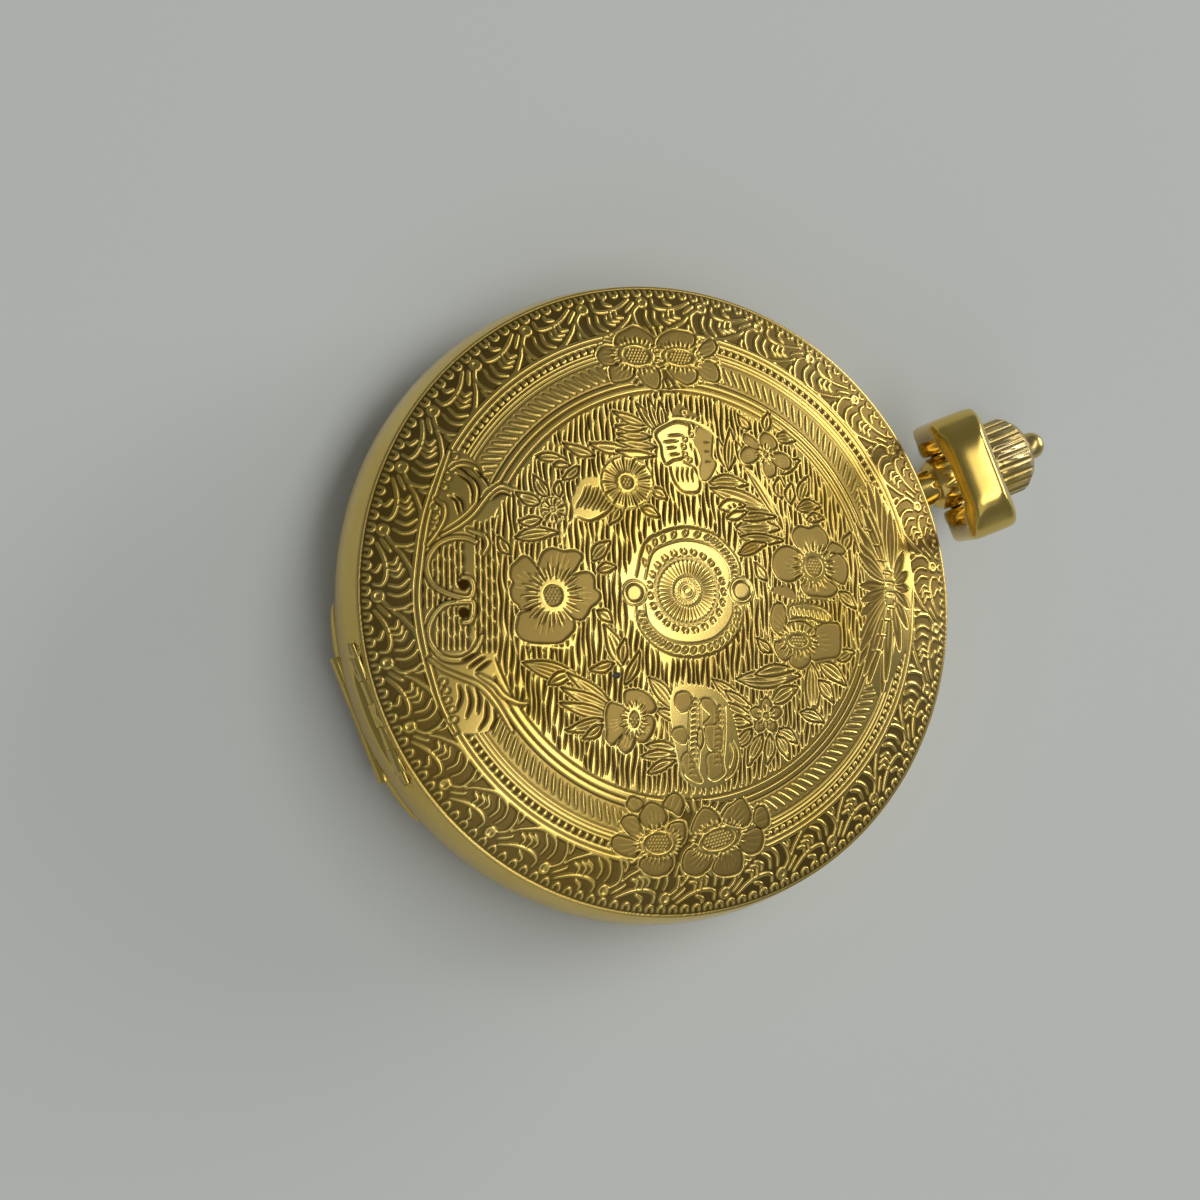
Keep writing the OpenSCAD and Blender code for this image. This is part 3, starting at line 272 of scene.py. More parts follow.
def enamel():
    made = Finish("white_enamel", IOR=1.52, Coat_Weight=0.8, Coat_Roughness=0.04)
    cloud = made.noise(70.0, 3.0)
    made.set("Base_Color", made.mix(cloud, ENAMEL_SHADE, ENAMEL_WHITE))
    made.set("Roughness", cloud * 0.08 + 0.14)
    made.bump(made.noise(240.0, 2.0), 0.05, 0.00005)
    return made.material


def black_enamel():
    made = Finish("black_enamel", IOR=1.52, Coat_Weight=0.6)
    made.set("Base_Color", made.mix(made.noise(600.0), PRINT_BLACK, PRINT_GREY))
    made.set("Roughness", made.noise(900.0) * 0.1 + 0.2)
    return made.material


def clear_glass():
    made = Finish("clear_crystal", Base_Color=(1.0, 1.0, 1.0), Transmission_Weight=1.0, IOR=1.5)
    made.set("Roughness", made.span(made.noise(300.0), 0.6, 0.9, 0.0, 0.03))
    return made.material


finish = {
    "gold": polished_gold(), "engraved": engraved_gold(), "worn": worn_gold(),
    "steel": steel("steel", STEEL_GREY, 0.2), "spring": steel("spring_steel", SPRING_GREY, 0.28),
    "blued": blued(), "plate": gilt("frosted_gilt", True), "wheel": gilt("polished_gilt", False),
    "bridge": striped_plate(), "ruby": ruby(), "enamel": enamel(), "black": black_enamel(),
    "glass": clear_glass(),
}


# Mesh tools
def deselect():
    bpy.ops.object.select_all(action="DESELECT")


def activate(piece):
    deselect()
    piece.select_set(True)
    bpy.context.view_layer.objects.active = piece


def coat(piece, material):
    if not piece.data.materials:
        piece.data.materials.append(material)
    for slot in piece.material_slots:
        slot.material = material


def smooth(piece, angle=35.0):
    activate(piece)
    bpy.ops.object.shade_smooth_by_angle(angle=math.radians(angle))


def settle(piece):
    """Moves a piece's place into its mesh."""
    activate(piece)
    bpy.ops.object.transform_apply(location=True, rotation=True, scale=True)


def weld(piece, distance):
    """Joins the doubled points of a piece, nearer than a distance in metres."""
    activate(piece)
    bpy.ops.object.mode_set(mode="EDIT")
    bpy.ops.mesh.select_all(action="SELECT")
    bpy.ops.mesh.remove_doubles(threshold=distance)
    bpy.ops.object.mode_set(mode="OBJECT")


def apply_modifiers(piece, *labels):
    activate(piece)
    for label in labels:
        bpy.ops.object.modifier_apply(modifier=label)


def copy_of(node, name):
    """A merged copy of a frame node, ready to be worked on."""
    piece = bpy.data.objects.new(name, frame["nodes"][node].data.copy())
    bpy.context.scene.collection.objects.link(piece)
    weld(piece, 0.000002)
    return piece


# Nodes turned on a lathe, whose long thin faces need evened normals
TURNED_NODES = ("case_middle", "bezel", "back_cover", "dial", "crystal")


def polished_copy(node, body, material):
    """A smooth copy of a node that stands for it."""
    piece = copy_of(node, node + "_finished")
    if node in TURNED_NODES:
        smooth(piece, 18.0)
        even = piece.modifiers.new("even", "WEIGHTED_NORMAL")
        even.keep_sharp = True
        even.weight = 80
        apply_modifiers(piece, "even")
    else:
        smooth(piece)
    coat(piece, material)
    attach(piece, body)
    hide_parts(node)


# Engraving of the front cover, drawn in millimetres about the case axis on a square grid.
# Its sizes are the spacing of the samples, half its width, the samples per side, and the
# width over which the wall of a cut rises
PITCH = 0.04
HALF = 24.8
COUNT = int(2 * HALF / PITCH) + 1
EDGE = 0.05
# A distance that no mark reaches
FAR = 9.0


def evenly(count):
    """Angles in degrees, in even steps round a circle."""
    return [360.0 * i / count for i in range(count)]


def polar(radius, angle, about=(0.0, 0.0)):
    """The point at a radius and an angle in degrees about another point."""
    turn = math.radians(angle)
    return about[0] + radius * math.cos(turn), about[1] + radius * math.sin(turn)


def turned(points, angle, about=(0.0, 0.0)):
    """Points turned by an angle in degrees and moved to a place."""
    c, s = math.cos(math.radians(angle)), math.sin(math.radians(angle))
    p = np.array(points, float)
    return np.stack([p[:, 0] * c - p[:, 1] * s + about[0], p[:, 0] * s + p[:, 1] * c + about[1]], 1)


def oval(middle, rx, ry, tilt=0.0):
    """Eight points of an ellipse."""
    steps = [2 * math.pi * i / 8 for i in range(8)]
    return turned([(rx * math.cos(t), ry * math.sin(t)) for t in steps], tilt, middle)


def curve_through(points, steps=6, closed=False):
    """Points of a smooth curve through the given ones."""
    p = np.array(points, float)
    if len(p) < 3:
        return p
    if closed:
        line = np.vstack([p[-1], p, p[0], p[1]])
    else:
        line = np.vstack([2 * p[0] - p[1], p, 2 * p[-1] - p[-2]])
    t = np.linspace(0, 1, steps, endpoint=False)[:, None]
    out = []
    for a, b, c, d in zip(line[:-3], line[1:-2], line[2:-1], line[3:]):
        out.append(0.5 * (2 * b + (c - a) * t + (2 * a - 5 * b + 4 * c - d) * t ** 2
                          + (3 * b - a - 3 * c + d) * t ** 3))
    if not closed:
        out.append(p[-1:])
    return np.vstack(out)


def nearest(x, y, start, step):
    """Share along a straight piece that lies nearest to each point, and the distance to it."""
    (ax, ay), (dx, dy) = start, step
    t = np.clip(((x - ax) * dx + (y - ay) * dy) / max(dx * dx + dy * dy, 1e-9), 0, 1)
    return t, np.hypot(x - ax - t * dx, y - ay - t * dy)


class Engraving:
    """Depth of the cuts, dullness and soil over the cover, each from 0 to 1."""

    def __init__(self):
        axis = np.linspace(-HALF, HALF, COUNT)
        self.x, self.y = np.meshgrid(axis, axis)
        self.r = np.hypot(self.x, self.y)
        self.cut = np.zeros((COUNT, COUNT), np.float32)
        self.dull = np.zeros((COUNT, COUNT), np.float32)
        self.soil = np.zeros((COUNT, COUNT), np.float32)

    def window(self, points, margin):
        low = np.clip(((points.min(0) - margin + HALF) / PITCH).astype(int), 0, COUNT - 2)
        high = np.clip(((points.max(0) + margin + HALF) / PITCH).astype(int) + 2, 1, COUNT)
        return np.s_[low[1]:high[1], low[0]:high[0]]

    def stroke_mask(self, points, width, taper):
        line = curve_through(points)
        place = self.window(line, width)
        x, y = self.x[place], self.y[place]
        length = np.concatenate([[0], np.cumsum(np.hypot(*np.diff(line, axis=0).T))])
        share = length / max(length[-1], 1e-6)
        near = np.full(x.shape, FAR)
        for i in range(len(line) - 1):
            t, away = nearest(x, y, line[i], line[i + 1] - line[i])
            along = share[i] + (share[i + 1] - share[i]) * t
            half = width / 2 * (1 - taper * np.abs(2 * along - 1) ** 3)
            near = np.minimum(near, away - half)
        return place, np.clip(0.5 - near / EDGE, 0, 1)

    def area_mask(self, points, grow=0.0):
        line = curve_through(points, 5, closed=True)
        place = self.window(line, 0.3 + grow)
        x, y = self.x[place], self.y[place]
        near = np.full(x.shape, FAR)
        inside = np.zeros(x.shape, bool)
        for (ax, ay), (bx, by) in zip(line, np.roll(line, -1, 0)):
            dx, dy = bx - ax, by - ay
            near = np.minimum(near, nearest(x, y, (ax, ay), (dx, dy))[1])
            if dy:
                inside ^= ((ay > y) != (by > y)) & (x < ax + (y - ay) * dx / dy)
        return place, np.clip(0.5 - (np.where(inside, -near, near) - grow) / EDGE, 0, 1)

    def sink(self, place, mask, level):
        self.cut[place] = np.maximum(self.cut[place], mask * level)
        self.dull[place] *= 1 - mask * 0.9

    def lift(self, place, mask, level=0.0):
        self.cut[place] = self.cut[place] * (1 - mask) + level * mask
        self.dull[place] *= 1 - mask

    def groove(self, points, width, level, taper=0.8):
        self.sink(*self.stroke_mask(points, width, taper), level)

    def ridge(self, points, width, level=0.0, taper=0.35):
        self.lift(*self.stroke_mask(points, width, taper), level)

    def clear(self, points, grow):
        self.lift(*self.area_mask(points, grow))

    def pool(self, points, level, dull=1.0):
        """A sunk flat area, as a petal or leaf."""
        place, mask = self.area_mask(points)
        self.lift(place, mask, level)
        self.dull[place] = np.maximum(self.dull[place], mask * dull)

    def outline(self, points, width, level):
        line = curve_through(points, 5, closed=True)
        self.groove(np.vstack([line, line[:1]])[::2], width, level, 0.0)

    def dot(self, x, y, radius, level=0.0, sunk=False):
        place = self.window(np.array([[x, y]]), radius + 0.1)
        mask = np.clip(0.5 - (np.hypot(self.x[place] - x, self.y[place] - y) - radius) / EDGE, 0, 1)
        if sunk:
            self.sink(place, mask, level)
        else:
            self.lift(place, mask, level)

    def ring(self, radius, width, level):
        mask = np.clip(0.5 - (np.abs(self.r - radius) - width / 2) / EDGE, 0, 1)
        self.cut = np.maximum(self.cut, mask * level)

    def ring_arc(self, x, y, radius, start, end, width, level):
        """An arc cut round a point."""
        steps = max(4, int((end - start) / 30))
        points = [polar(radius, start + (end - start) * i / steps, (x, y)) for i in range(steps + 1)]
        self.groove(points, width, level, 0.2)


def core(art, middle, rx, ry, tilt=0.0):
    """The dotted middle of a flower."""
    art.pool(oval(middle, rx, ry, tilt), 0.9, 0.6)
    row, column = 0.24, 0.26
    count = max(1, int(rx / row))
    for i in range(-count, count + 1):
        for j in range(-count, count + 1):
            u, v = (i + 0.5 * (j % 2)) * column, j * row
            if (u / rx) ** 2 + (v / ry) ** 2 < 0.72:
                art.dot(*turned([(u, v)], tilt, middle)[0], 0.085, 0.1)


# How much wider the leaves are cut than their listed widths
LEAF_FULLNESS = 1.25


def leaf(art, base, tip, width, bend, veins):
    """A pointed leaf from base to tip, with veins along it."""
    width = width * LEAF_FULLNESS
    base, tip = np.array(base, float), np.array(tip, float)
    along = tip - base
    across = np.array([-along[1], along[0]]) / np.hypot(*along)
    middle = [base + along * t + across * bend * 4 * t * (1 - t) for t in (0.0, 0.25, 0.5, 0.75, 1.0)]
    spread = [0.12, 0.85, 1.0, 0.6, 0.0]
    left = [m + across * width / 2 * h for m, h in zip(middle, spread)]
    right = [m - across * width / 2 * h for m, h in zip(middle, spread)]
    shape = np.array(left + right[-2::-1])
    art.clear(shape, 0.16)
    art.outline(shape, 0.16, 1.0)
    veins = min(veins, int(width / 0.4))
    for i in range(veins):
        off = width * (i - (veins - 1) / 2) / (veins + 1)
        art.groove([m + across * off * h for m, h in zip(middle[:4], spread)], 0.13, 0.95)


# Radii on the cover: the medallion, and the inner and the outer edge of the hatching round it
MEDALLION_R = 4.95
HATCH_INNER_R = 4.8
HATCH_OUTER_R = 15.3


def field_hatch(art):
    """Fine wavy upright cuts between the motifs."""
    draw = np.random.default_rng(7)
    spacing = 0.405
    for column in range(-38, 39):
        y = -15.4 + draw.uniform(0, 0.8)
        phase = draw.uniform(0, 6.28)
        while y < HATCH_OUTER_R:
            length = draw.uniform(2.2, 5.0)
            ys = np.linspace(y, min(y + length, HATCH_OUTER_R), 9)
            xs = (column * spacing + 0.06 * np.sin(ys * 2.1 + phase) + 0.05 * np.sin(ys * 0.7 + column)
                  + draw.uniform(-0.03, 0.03))
            reach = np.hypot(xs, ys)
            kept = (reach < HATCH_OUTER_R) & (reach > HATCH_INNER_R)
            if kept.sum() > 2:
                art.groove(np.stack([xs, ys], 1)[kept], draw.uniform(0.19, 0.23), 1.0)
            y += length + draw.uniform(0.02, 0.12)


def medallion(art):
    """Rope crescents, rings and the scalloped rosette in the middle."""
    art.lift(np.s_[:, :], np.clip(0.5 - (art.r - MEDALLION_R) / EDGE, 0, 1))
    upper = [(-4.0, 1.0), (-3.3, 3.4), (-2.0, 4.3), (0.0, 4.8), (2.0, 4.5), (3.0, 3.9), (4.0, 2.8),
             (4.35, 1.9), (4.3, 1.1)]
    lower = [(4.6, -1.0), (4.5, -2.0), (4.0, -3.1), (3.0, -4.1), (2.0, -4.6), (0.5, -4.9), (-1.0, -4.8),
             (-2.3, -4.3), (-3.2, -3.6), (-3.9, -2.6), (-4.1, -1.2)]
    strand = [(0.3, 0.04), (0.12, 0.13), (-0.12, 0.12), (-0.3, -0.04), (-0.12, -0.13), (0.12, -0.12)]
    for edge in (upper, lower):
        art.groove(edge, 0.16, 1.0, 0.4)
        art.groove([(px * 0.83, py * 0.80) for px, py in edge], 0.13, 0.9, 0.5)
        line = curve_through(edge, 8)
        for i in range(4, len(line) - 4, 4):
            px, py = line[i] * 0.9
            art.outline(turned(strand, math.degrees(math.atan2(py, px)) - 48, (px, py)), 0.11, 0.95)
    for angle in evenly(23):
        art.ring_arc(*polar(2.95, angle), 0.21, angle + 35, angle + 325, 0.12, 0.95)
    scallops = 40
    for angle in evenly(scallops):
        art.groove([polar(1.25, angle), polar(2.15, angle)], 0.09, 0.8, 0.5)
        art.ring_arc(*polar(2.25, angle + 180.0 / scallops), 0.16, angle - 80, angle + 100, 0.1, 0.9)
    for radius, width, level in ((2.55, 0.1, 0.8), (1.15, 0.12, 0.9), (0.62, 0.09, 0.7), (0.3, 0.1, 0.8)):
        art.ring(radius, width, level)
    for angle in evenly(24):
        art.groove([polar(0.72, angle), polar(1.05, angle)], 0.06, 0.4, 0.5)
    for x, y, radius, wide in ((-4.15, -0.2, 0.62, 0.93), (4.45, 0.15, 0.65, 1.02)):
        art.clear([polar(wide, angle, (x, y)) for angle in evenly(8)], 0.05)
        art.dot(x, y, radius, 0.45)
        art.ring_arc(x, y, radius, 0, 360, 0.15, 1.0)
        art.ring_arc(x, y, wide, 0, 360, 0.1, 0.8)


def bands(art):
    """The ring lines, the row of pearls and the slanted feather strokes."""
    zone = (art.r > 16.55) & (art.r < 18.3)
    art.cut[zone] = np.maximum(art.cut[zone], 0.55)
    art.dull[zone] = np.maximum(art.dull[zone], 0.3)
    # Radius, width and depth of each ring line
    for row in ((15.35, 0.14, 1.0), (15.92, 0.16, 1.0), (16.45, 0.18, 1.0), (18.32, 0.14, 0.9),
                (18.62, 0.12, 0.8), (18.95, 0.12, 0.9), (19.38, 0.55, 0.95), (19.98, 0.14, 0.9),
                (20.42, 0.16, 1.0)):
        art.ring(*row)
    for angle in evenly(162):
        ends = [polar(16.8, angle), polar(17.95, angle + 2.6)]
        art.groove(ends, 0.46, 0.95, 0.4)
        art.ridge(ends, 0.25, 0.0, 0.6)
    for angle in evenly(202):
        art.dot(*polar(19.38, angle), 0.2)


def border(art):
    """The outer border: hooks, shells and bosses on a deep ground, and the beaded rim."""
    zone = (art.r > 20.5) & (art.r < 24.4)
    art.cut[zone] = 0.92
    art.dull[zone] = 0.12
    boss_r, boss_angle = 22.66, 156.2
    # Strokes of one unit, read between the bosses at angles 156.2 and 168.4
    strokes = [
        [(-21.0, 8.5), (-20.85, 8.0), (-20.65, 7.5)],
        [(-20.6, 8.7), (-20.45, 8.2), (-20.2, 7.9), (-19.5, 7.65), (-18.8, 7.7)],
        [(-19.6, 7.4), (-19.2, 7.2), (-18.8, 7.3)],
        [(-21.4, 8.3), (-21.2, 7.3), (-21.2, 6.5), (-21.4, 5.7), (-21.8, 5.25), (-22.3, 5.4)],
        [(-21.5, 6.7), (-21.9, 6.3), (-22.15, 6.4)],
        [(-20.3, 7.7), (-20.0, 7.2), (-19.8, 6.6), (-19.6, 5.9), (-19.6, 5.3), (-19.8, 4.7), (-20.2, 4.3),
         (-20.9, 4.2), (-21.5, 4.5)],
        [(-20.95, 6.7), (-20.6, 6.55), (-20.3, 6.95)],
        [(-21.0, 5.8), (-20.6, 5.6), (-20.1, 6.0)],
        [(-21.3, 5.1), (-20.6, 4.85), (-19.9, 5.2)],
        [(-21.05, 6.25), (-20.55, 6.05), (-20.2, 6.45)],
    ]
    for turn in evenly(29):
        for line in strokes:
            art.ridge(turned(line, turn), 0.25, 0.0, 0.3)
        x, y = polar(boss_r, boss_angle + turn)
        art.dot(x, y, 0.44)
        art.dot(x, y, 0.2, 0.6, sunk=True)
    # Each bead of the rim is a small horseshoe, open to the outside
    for angle in evenly(156):
        bead = polar(23.5, angle)
        art.ridge([polar(0.27, angle + 180 + t, bead) for t in (-115, -60, 0, 60, 115)], 0.2, 0.0, 0.2)
    art.cut[art.r > 23.86] = 0.15


def sunk_flower(art, middle, radii, reach, count, petals, tilt=0.0, hub=1.75):
    """A flower of sunk petals, with stamens that stand up round its dotted middle."""
    rx, ry = radii
    for shape in petals:
        art.clear(shape, 0.2)
    for shape in petals:
        art.pool(shape, 0.62)
        art.outline(shape, 0.15, 1.0)
        heart = np.mean(shape, 0) - middle
        for lean in (-13, -4, 5, 14):
            streak = [heart * 0.8, heart * 1.05, heart * (1.3 - abs(lean) * 0.012)]
            art.groove(turned(streak, lean, middle), 0.09, 0.85, 0.9)
    art.clear(oval(middle, rx * hub, ry * hub, tilt), 0.0)
    for i, angle in enumerate(evenly(count)):
        (nx, ny), (fx, fy) = polar(1.0, angle), polar(1.0, angle + 3)
        spread = reach * (1.0 if i % 2 else 0.72)
        stamen = [(nx * rx * 1.4, ny * ry * 1.4), (fx * rx * 1.4 + nx * spread, fy * ry * 1.4 + ny * spread)]
        art.ridge(turned(stamen, tilt, middle), 0.17, 0.0, 0.85)
        if i % 2:
            bx, by = polar(1.0, angle + 180.0 / count)
            gap = [(bx * rx * 1.55, by * ry * 1.55),
                   (bx * (rx * 1.5 + reach * 0.9), by * (ry * 1.5 + reach * 0.9))]
            art.groove(turned(gap, tilt, middle), 0.15, 1.0, 0.9)
    core(art, middle, rx, ry, tilt)


def star_flower(art, middle, petals, near, far, streaks):
    """A small flower of pointed petals standing in the ground."""
    art.clear(oval(middle, far, far), 0.12)
    art.outline(oval(middle, far * 1.02, far * 1.02), 0.1, 0.7)
    for angle in evenly(petals):
        for k in range(streaks):
            off = (k - (streaks - 1) / 2) * 360.0 / petals / (streaks + 1)
            streak = [polar(near * 1.5, angle + off, middle), polar(far * 0.88, angle + off, middle)]
            art.groove(streak, 0.13, 0.85, 0.9)
        between = angle + 180.0 / petals
        art.groove([polar(near * 1.7, between, middle), polar(far, between, middle)], 0.16, 1.0, 0.5)
    core(art, middle, near, near)


def big_flowers(art):
    """The open flowers of the wreath, large and small."""
    sunk_flower(art, (-10.3, -0.45), (0.7, 0.8), 1.35, 34, [
        [(-11.3, 1.2), (-11.2, 2.2), (-10.8, 2.8), (-10.2, 3.0), (-9.4, 2.8), (-8.6, 2.85), (-8.1, 2.5),
         (-8.3, 2.0), (-8.9, 1.2), (-9.9, 0.6)],
        [(-13.0, 1.9), (-12.6, 2.3), (-12.2, 2.4), (-11.8, 2.0), (-11.3, 1.3), (-10.9, 0.4), (-11.0, -1.0),
         (-12.5, -1.5), (-12.9, -1.1), (-13.3, -0.7), (-13.4, -0.1), (-13.2, 0.5), (-13.4, 0.9),
         (-13.3, 1.6)],
        [(-12.6, -1.7), (-12.9, -2.3), (-13.0, -3.1), (-12.6, -3.6), (-11.8, -3.85), (-10.6, -3.9),
         (-9.8, -3.85), (-9.2, -3.4), (-8.8, -2.9), (-8.9, -2.2), (-9.8, -1.3), (-11.0, -1.4)],
        [(-9.4, 0.6), (-8.2, 1.2), (-7.5, 1.2), (-7.2, 0.7), (-7.2, 0.1), (-6.8, -0.3), (-6.9, -0.8),
         (-7.5, -1.3), (-7.8, -1.8), (-8.2, -2.2), (-8.9, -2.0), (-9.6, -1.2)]])
    art.ridge([(-12.6, -4.05), (-11.0, -4.15), (-9.8, -4.3), (-9.0, -4.1), (-8.6, -3.0)], 0.2)
    for x in (-12.0, -11.4, -11.0, -10.3):
        art.dot(x, -4.5, 0.1, 0.9, sunk=True)
    sunk_flower(art, (10.75, 2.2), (0.72, 0.75), 0.95, 30, [
        [(11.4, 1.9), (12.5, 1.3), (13.4, 1.0), (13.8, 1.8), (13.7, 2.7), (13.0, 3.3), (12.3, 2.9),
         (11.5, 2.5)],
        [(10.2, 1.6), (9.6, 0.9), (10.0, 0.1), (11.0, -0.05), (12.2, 0.0), (12.8, 0.6), (12.0, 1.2),
         (11.2, 1.6)],
        [(10.0, 2.5), (9.2, 3.4), (8.2, 3.6), (7.4, 3.0), (7.2, 2.0), (7.7, 1.2), (8.7, 1.0), (9.6, 1.5),
         (10.0, 2.0)],
        [(10.3, 2.8), (9.4, 3.7), (9.0, 4.5), (9.6, 5.2), (10.5, 5.1), (11.3, 5.35), (12.0, 4.8), (12.1, 4.0),
         (11.4, 3.3), (10.9, 2.9)],
        [(11.8, 2.9), (12.3, 3.3), (13.4, 3.3), (13.6, 3.7), (12.6, 4.1), (12.1, 3.6)]])
    art.ridge([(9.1, 1.0), (9.2, 0.2), (9.8, -0.3), (11.0, -0.25), (12.4, -0.4), (12.9, -0.1)], 0.2)
    art.pool([(6.9, 0.2), (7.9, 0.6), (8.8, 0.3), (9.0, -0.4), (7.8, -0.1)], 0.7)
    sunk_flower(art, (9.2, -3.5), (0.8, 0.45), 0.8, 26, [
        [(8.8, -3.1), (8.1, -2.8), (8.4, -2.3), (8.8, -2.1), (9.8, -2.1), (10.9, -2.8), (10.5, -3.4),
         (9.9, -3.5)],
        [(8.4, -3.5), (7.4, -3.6), (7.2, -4.0), (7.4, -4.5), (7.9, -5.0), (8.5, -4.8), (8.9, -4.1)],
        [(8.5, -4.9), (8.6, -5.3), (9.3, -5.6), (10.1, -5.2), (10.3, -4.3), (9.6, -3.9), (9.0, -4.2)],
        [(11.0, -2.4), (12.0, -2.1), (12.9, -2.2), (13.0, -3.3), (12.8, -4.5), (11.5, -4.8), (10.5, -4.9),
         (10.3, -4.0), (10.7, -3.2)],
        [(7.2, -0.9), (7.9, -0.8), (8.2, -1.8), (7.9, -2.9), (7.2, -2.8), (6.9, -2.0)]])
    fan = [(8.4, -1.0), (9.2, -0.7), (10.4, -0.7), (11.6, -1.0), (12.3, -1.6), (12.0, -2.1), (11.2, -2.1),
           (10.4, -1.8), (9.2, -1.8), (8.5, -1.9)]
    art.clear(fan, 0.05)
    art.outline(fan, 0.13, 0.9)
    for i in range(8):
        x = 8.8 + 0.42 * i
        art.groove([(x, -0.95 - 0.05 * i), (x + 0.08, -1.55 - 0.05 * i)], 0.12, 0.8, 0.9)
    sunk_flower(art, (-4.15, -9.5), (0.35, 0.6), 0.65, 24, [
        [(-4.7, -8.7), (-4.9, -7.6), (-4.3, -7.35), (-3.5, -7.5), (-2.8, -8.0), (-2.5, -8.7), (-3.0, -9.0),
         (-3.8, -8.9)],
        [(-4.6, -8.9), (-5.6, -8.4), (-6.1, -8.4), (-6.3, -9.2), (-6.2, -10.3), (-6.2, -11.0), (-5.8, -11.3),
         (-5.4, -11.0), (-4.7, -10.1)],
        [(-4.6, -10.2), (-5.3, -11.2), (-5.1, -11.7), (-4.7, -11.9), (-4.3, -11.6), (-4.1, -11.2),
         (-4.0, -10.3)],
        [(-3.8, -10.2), (-3.9, -11.0), (-3.3, -11.1), (-2.9, -10.7), (-2.6, -10.0), (-2.7, -9.4),
         (-3.4, -9.3)]])
    sunk_flower(art, (7.15, 10.75), (0.22, 0.24), 0.55, 14, [
        [(7.6, 10.6), (8.4, 10.9), (9.2, 10.6), (9.2, 9.9), (8.6, 9.7), (7.9, 10.1)],
        [(7.0, 10.3), (6.9, 9.5), (7.2, 9.0), (7.8, 9.2), (7.9, 9.9), (7.4, 10.3)],
        [(7.0, 11.2), (6.8, 11.9), (7.2, 12.4), (7.9, 12.2), (8.2, 11.5), (7.6, 11.1)],
        [(6.7, 10.7), (6.0, 10.1), (5.3, 10.0), (5.0, 10.6), (5.6, 11.2), (6.4, 11.1)],
        [(6.8, 11.2), (6.2, 12.0), (5.5, 12.2), (5.4, 11.7), (6.1, 11.2)]])
    petal = [(0.3, -0.2), (0.9, -0.4), (1.35, 0.0), (0.9, 0.4), (0.3, 0.2)]
    petals = [turned(petal, angle, (6.5, -9.2)) for angle in (18, 90, 162, 234, 306)]
    sunk_flower(art, (6.5, -9.2), (0.25, 0.25), 0.5, 12, petals)
    star_flower(art, (-4.4, 8.1), 13, 0.5, 2.0, 2)
    star_flower(art, (-10.1, 5.9), 7, 0.18, 0.95, 1)


def top_flower(art):
    """The bell flower above the middle, seen from the side."""
    cup = [(-0.9, 9.5), (-0.8, 8.6), (-0.5, 8.0), (0.0, 7.55), (0.6, 7.45), (1.2, 7.55), (1.4, 8.0),
           (1.35, 8.5), (1.2, 9.0), (0.9, 9.5), (0.0, 9.9), (-0.5, 9.9)]
    left = [(-1.9, 11.9), (-1.55, 11.0), (-1.5, 10.2), (-1.2, 9.6), (-0.6, 9.9), (0.2, 10.2), (0.6, 11.5),
            (0.9, 12.6), (0.0, 12.9), (-0.9, 12.6)]
    right = [(1.2, 11.5), (1.5, 10.8), (1.7, 10.0), (1.5, 9.3), (1.6, 8.6), (2.1, 8.6), (2.6, 9.3),
             (2.8, 9.8), (2.5, 10.3), (2.6, 11.2), (2.7, 12.0), (2.2, 12.6), (1.6, 12.5)]
    for shape in (cup, left, right):
        art.clear(shape, 0.28)
        art.outline(shape, 0.14, 0.95)
    art.pool(right, 0.5, 0.8)
    for x in (-0.3, 0.1, 0.5, 0.9):
        art.groove([(x, 9.4), (x - 0.12, 8.8), (x - 0.05, 8.3)], 0.14, 0.9, 0.8)
    for x, far, y in ((-1.3, -0.1, 11.3), (-1.1, -0.3, 10.8), (-0.9, -0.1, 10.3), (-0.9, 0.3, 11.8)):
        art.groove([(x, y), (far, y + 0.15)], 0.17, 0.95, 0.8)
    art.clear([(1.2, 12.2), (0.6, 11.9), (0.2, 11.0), (0.3, 10.2), (0.9, 9.9), (1.0, 10.6), (0.8, 11.2),
               (1.3, 11.8)], 0.0)
    for x, y in ((1.0, 12.0), (0.45, 11.6), (0.3, 11.0), (0.35, 10.4), (0.7, 10.0)):
        art.ring_arc(x, y, 0.18, 0, 360, 0.1, 0.9)
    for y in (11.4, 10.7, 9.9):
        art.groove([(1.9, y), (2.5, y + 0.1)], 0.16, 0.95, 0.8)
    art.ridge([(-0.9, 12.8), (-0.2, 13.2), (0.6, 13.2), (1.5, 13.0), (2.5, 12.5), (3.0, 11.8)], 0.3)
    art.groove([(-0.9, 12.55), (-0.2, 12.95), (0.6, 12.95), (1.5, 12.8), (2.4, 12.3)], 0.13, 0.9)
    art.pool([(-0.4, 13.5), (0.2, 14.3), (1.1, 13.9), (1.9, 13.3), (1.0, 13.4), (0.2, 13.4)], 0.75)
    art.dot(0.6, 13.7, 0.25)
    art.dot(0.6, 13.7, 0.1, 0.8, sunk=True)


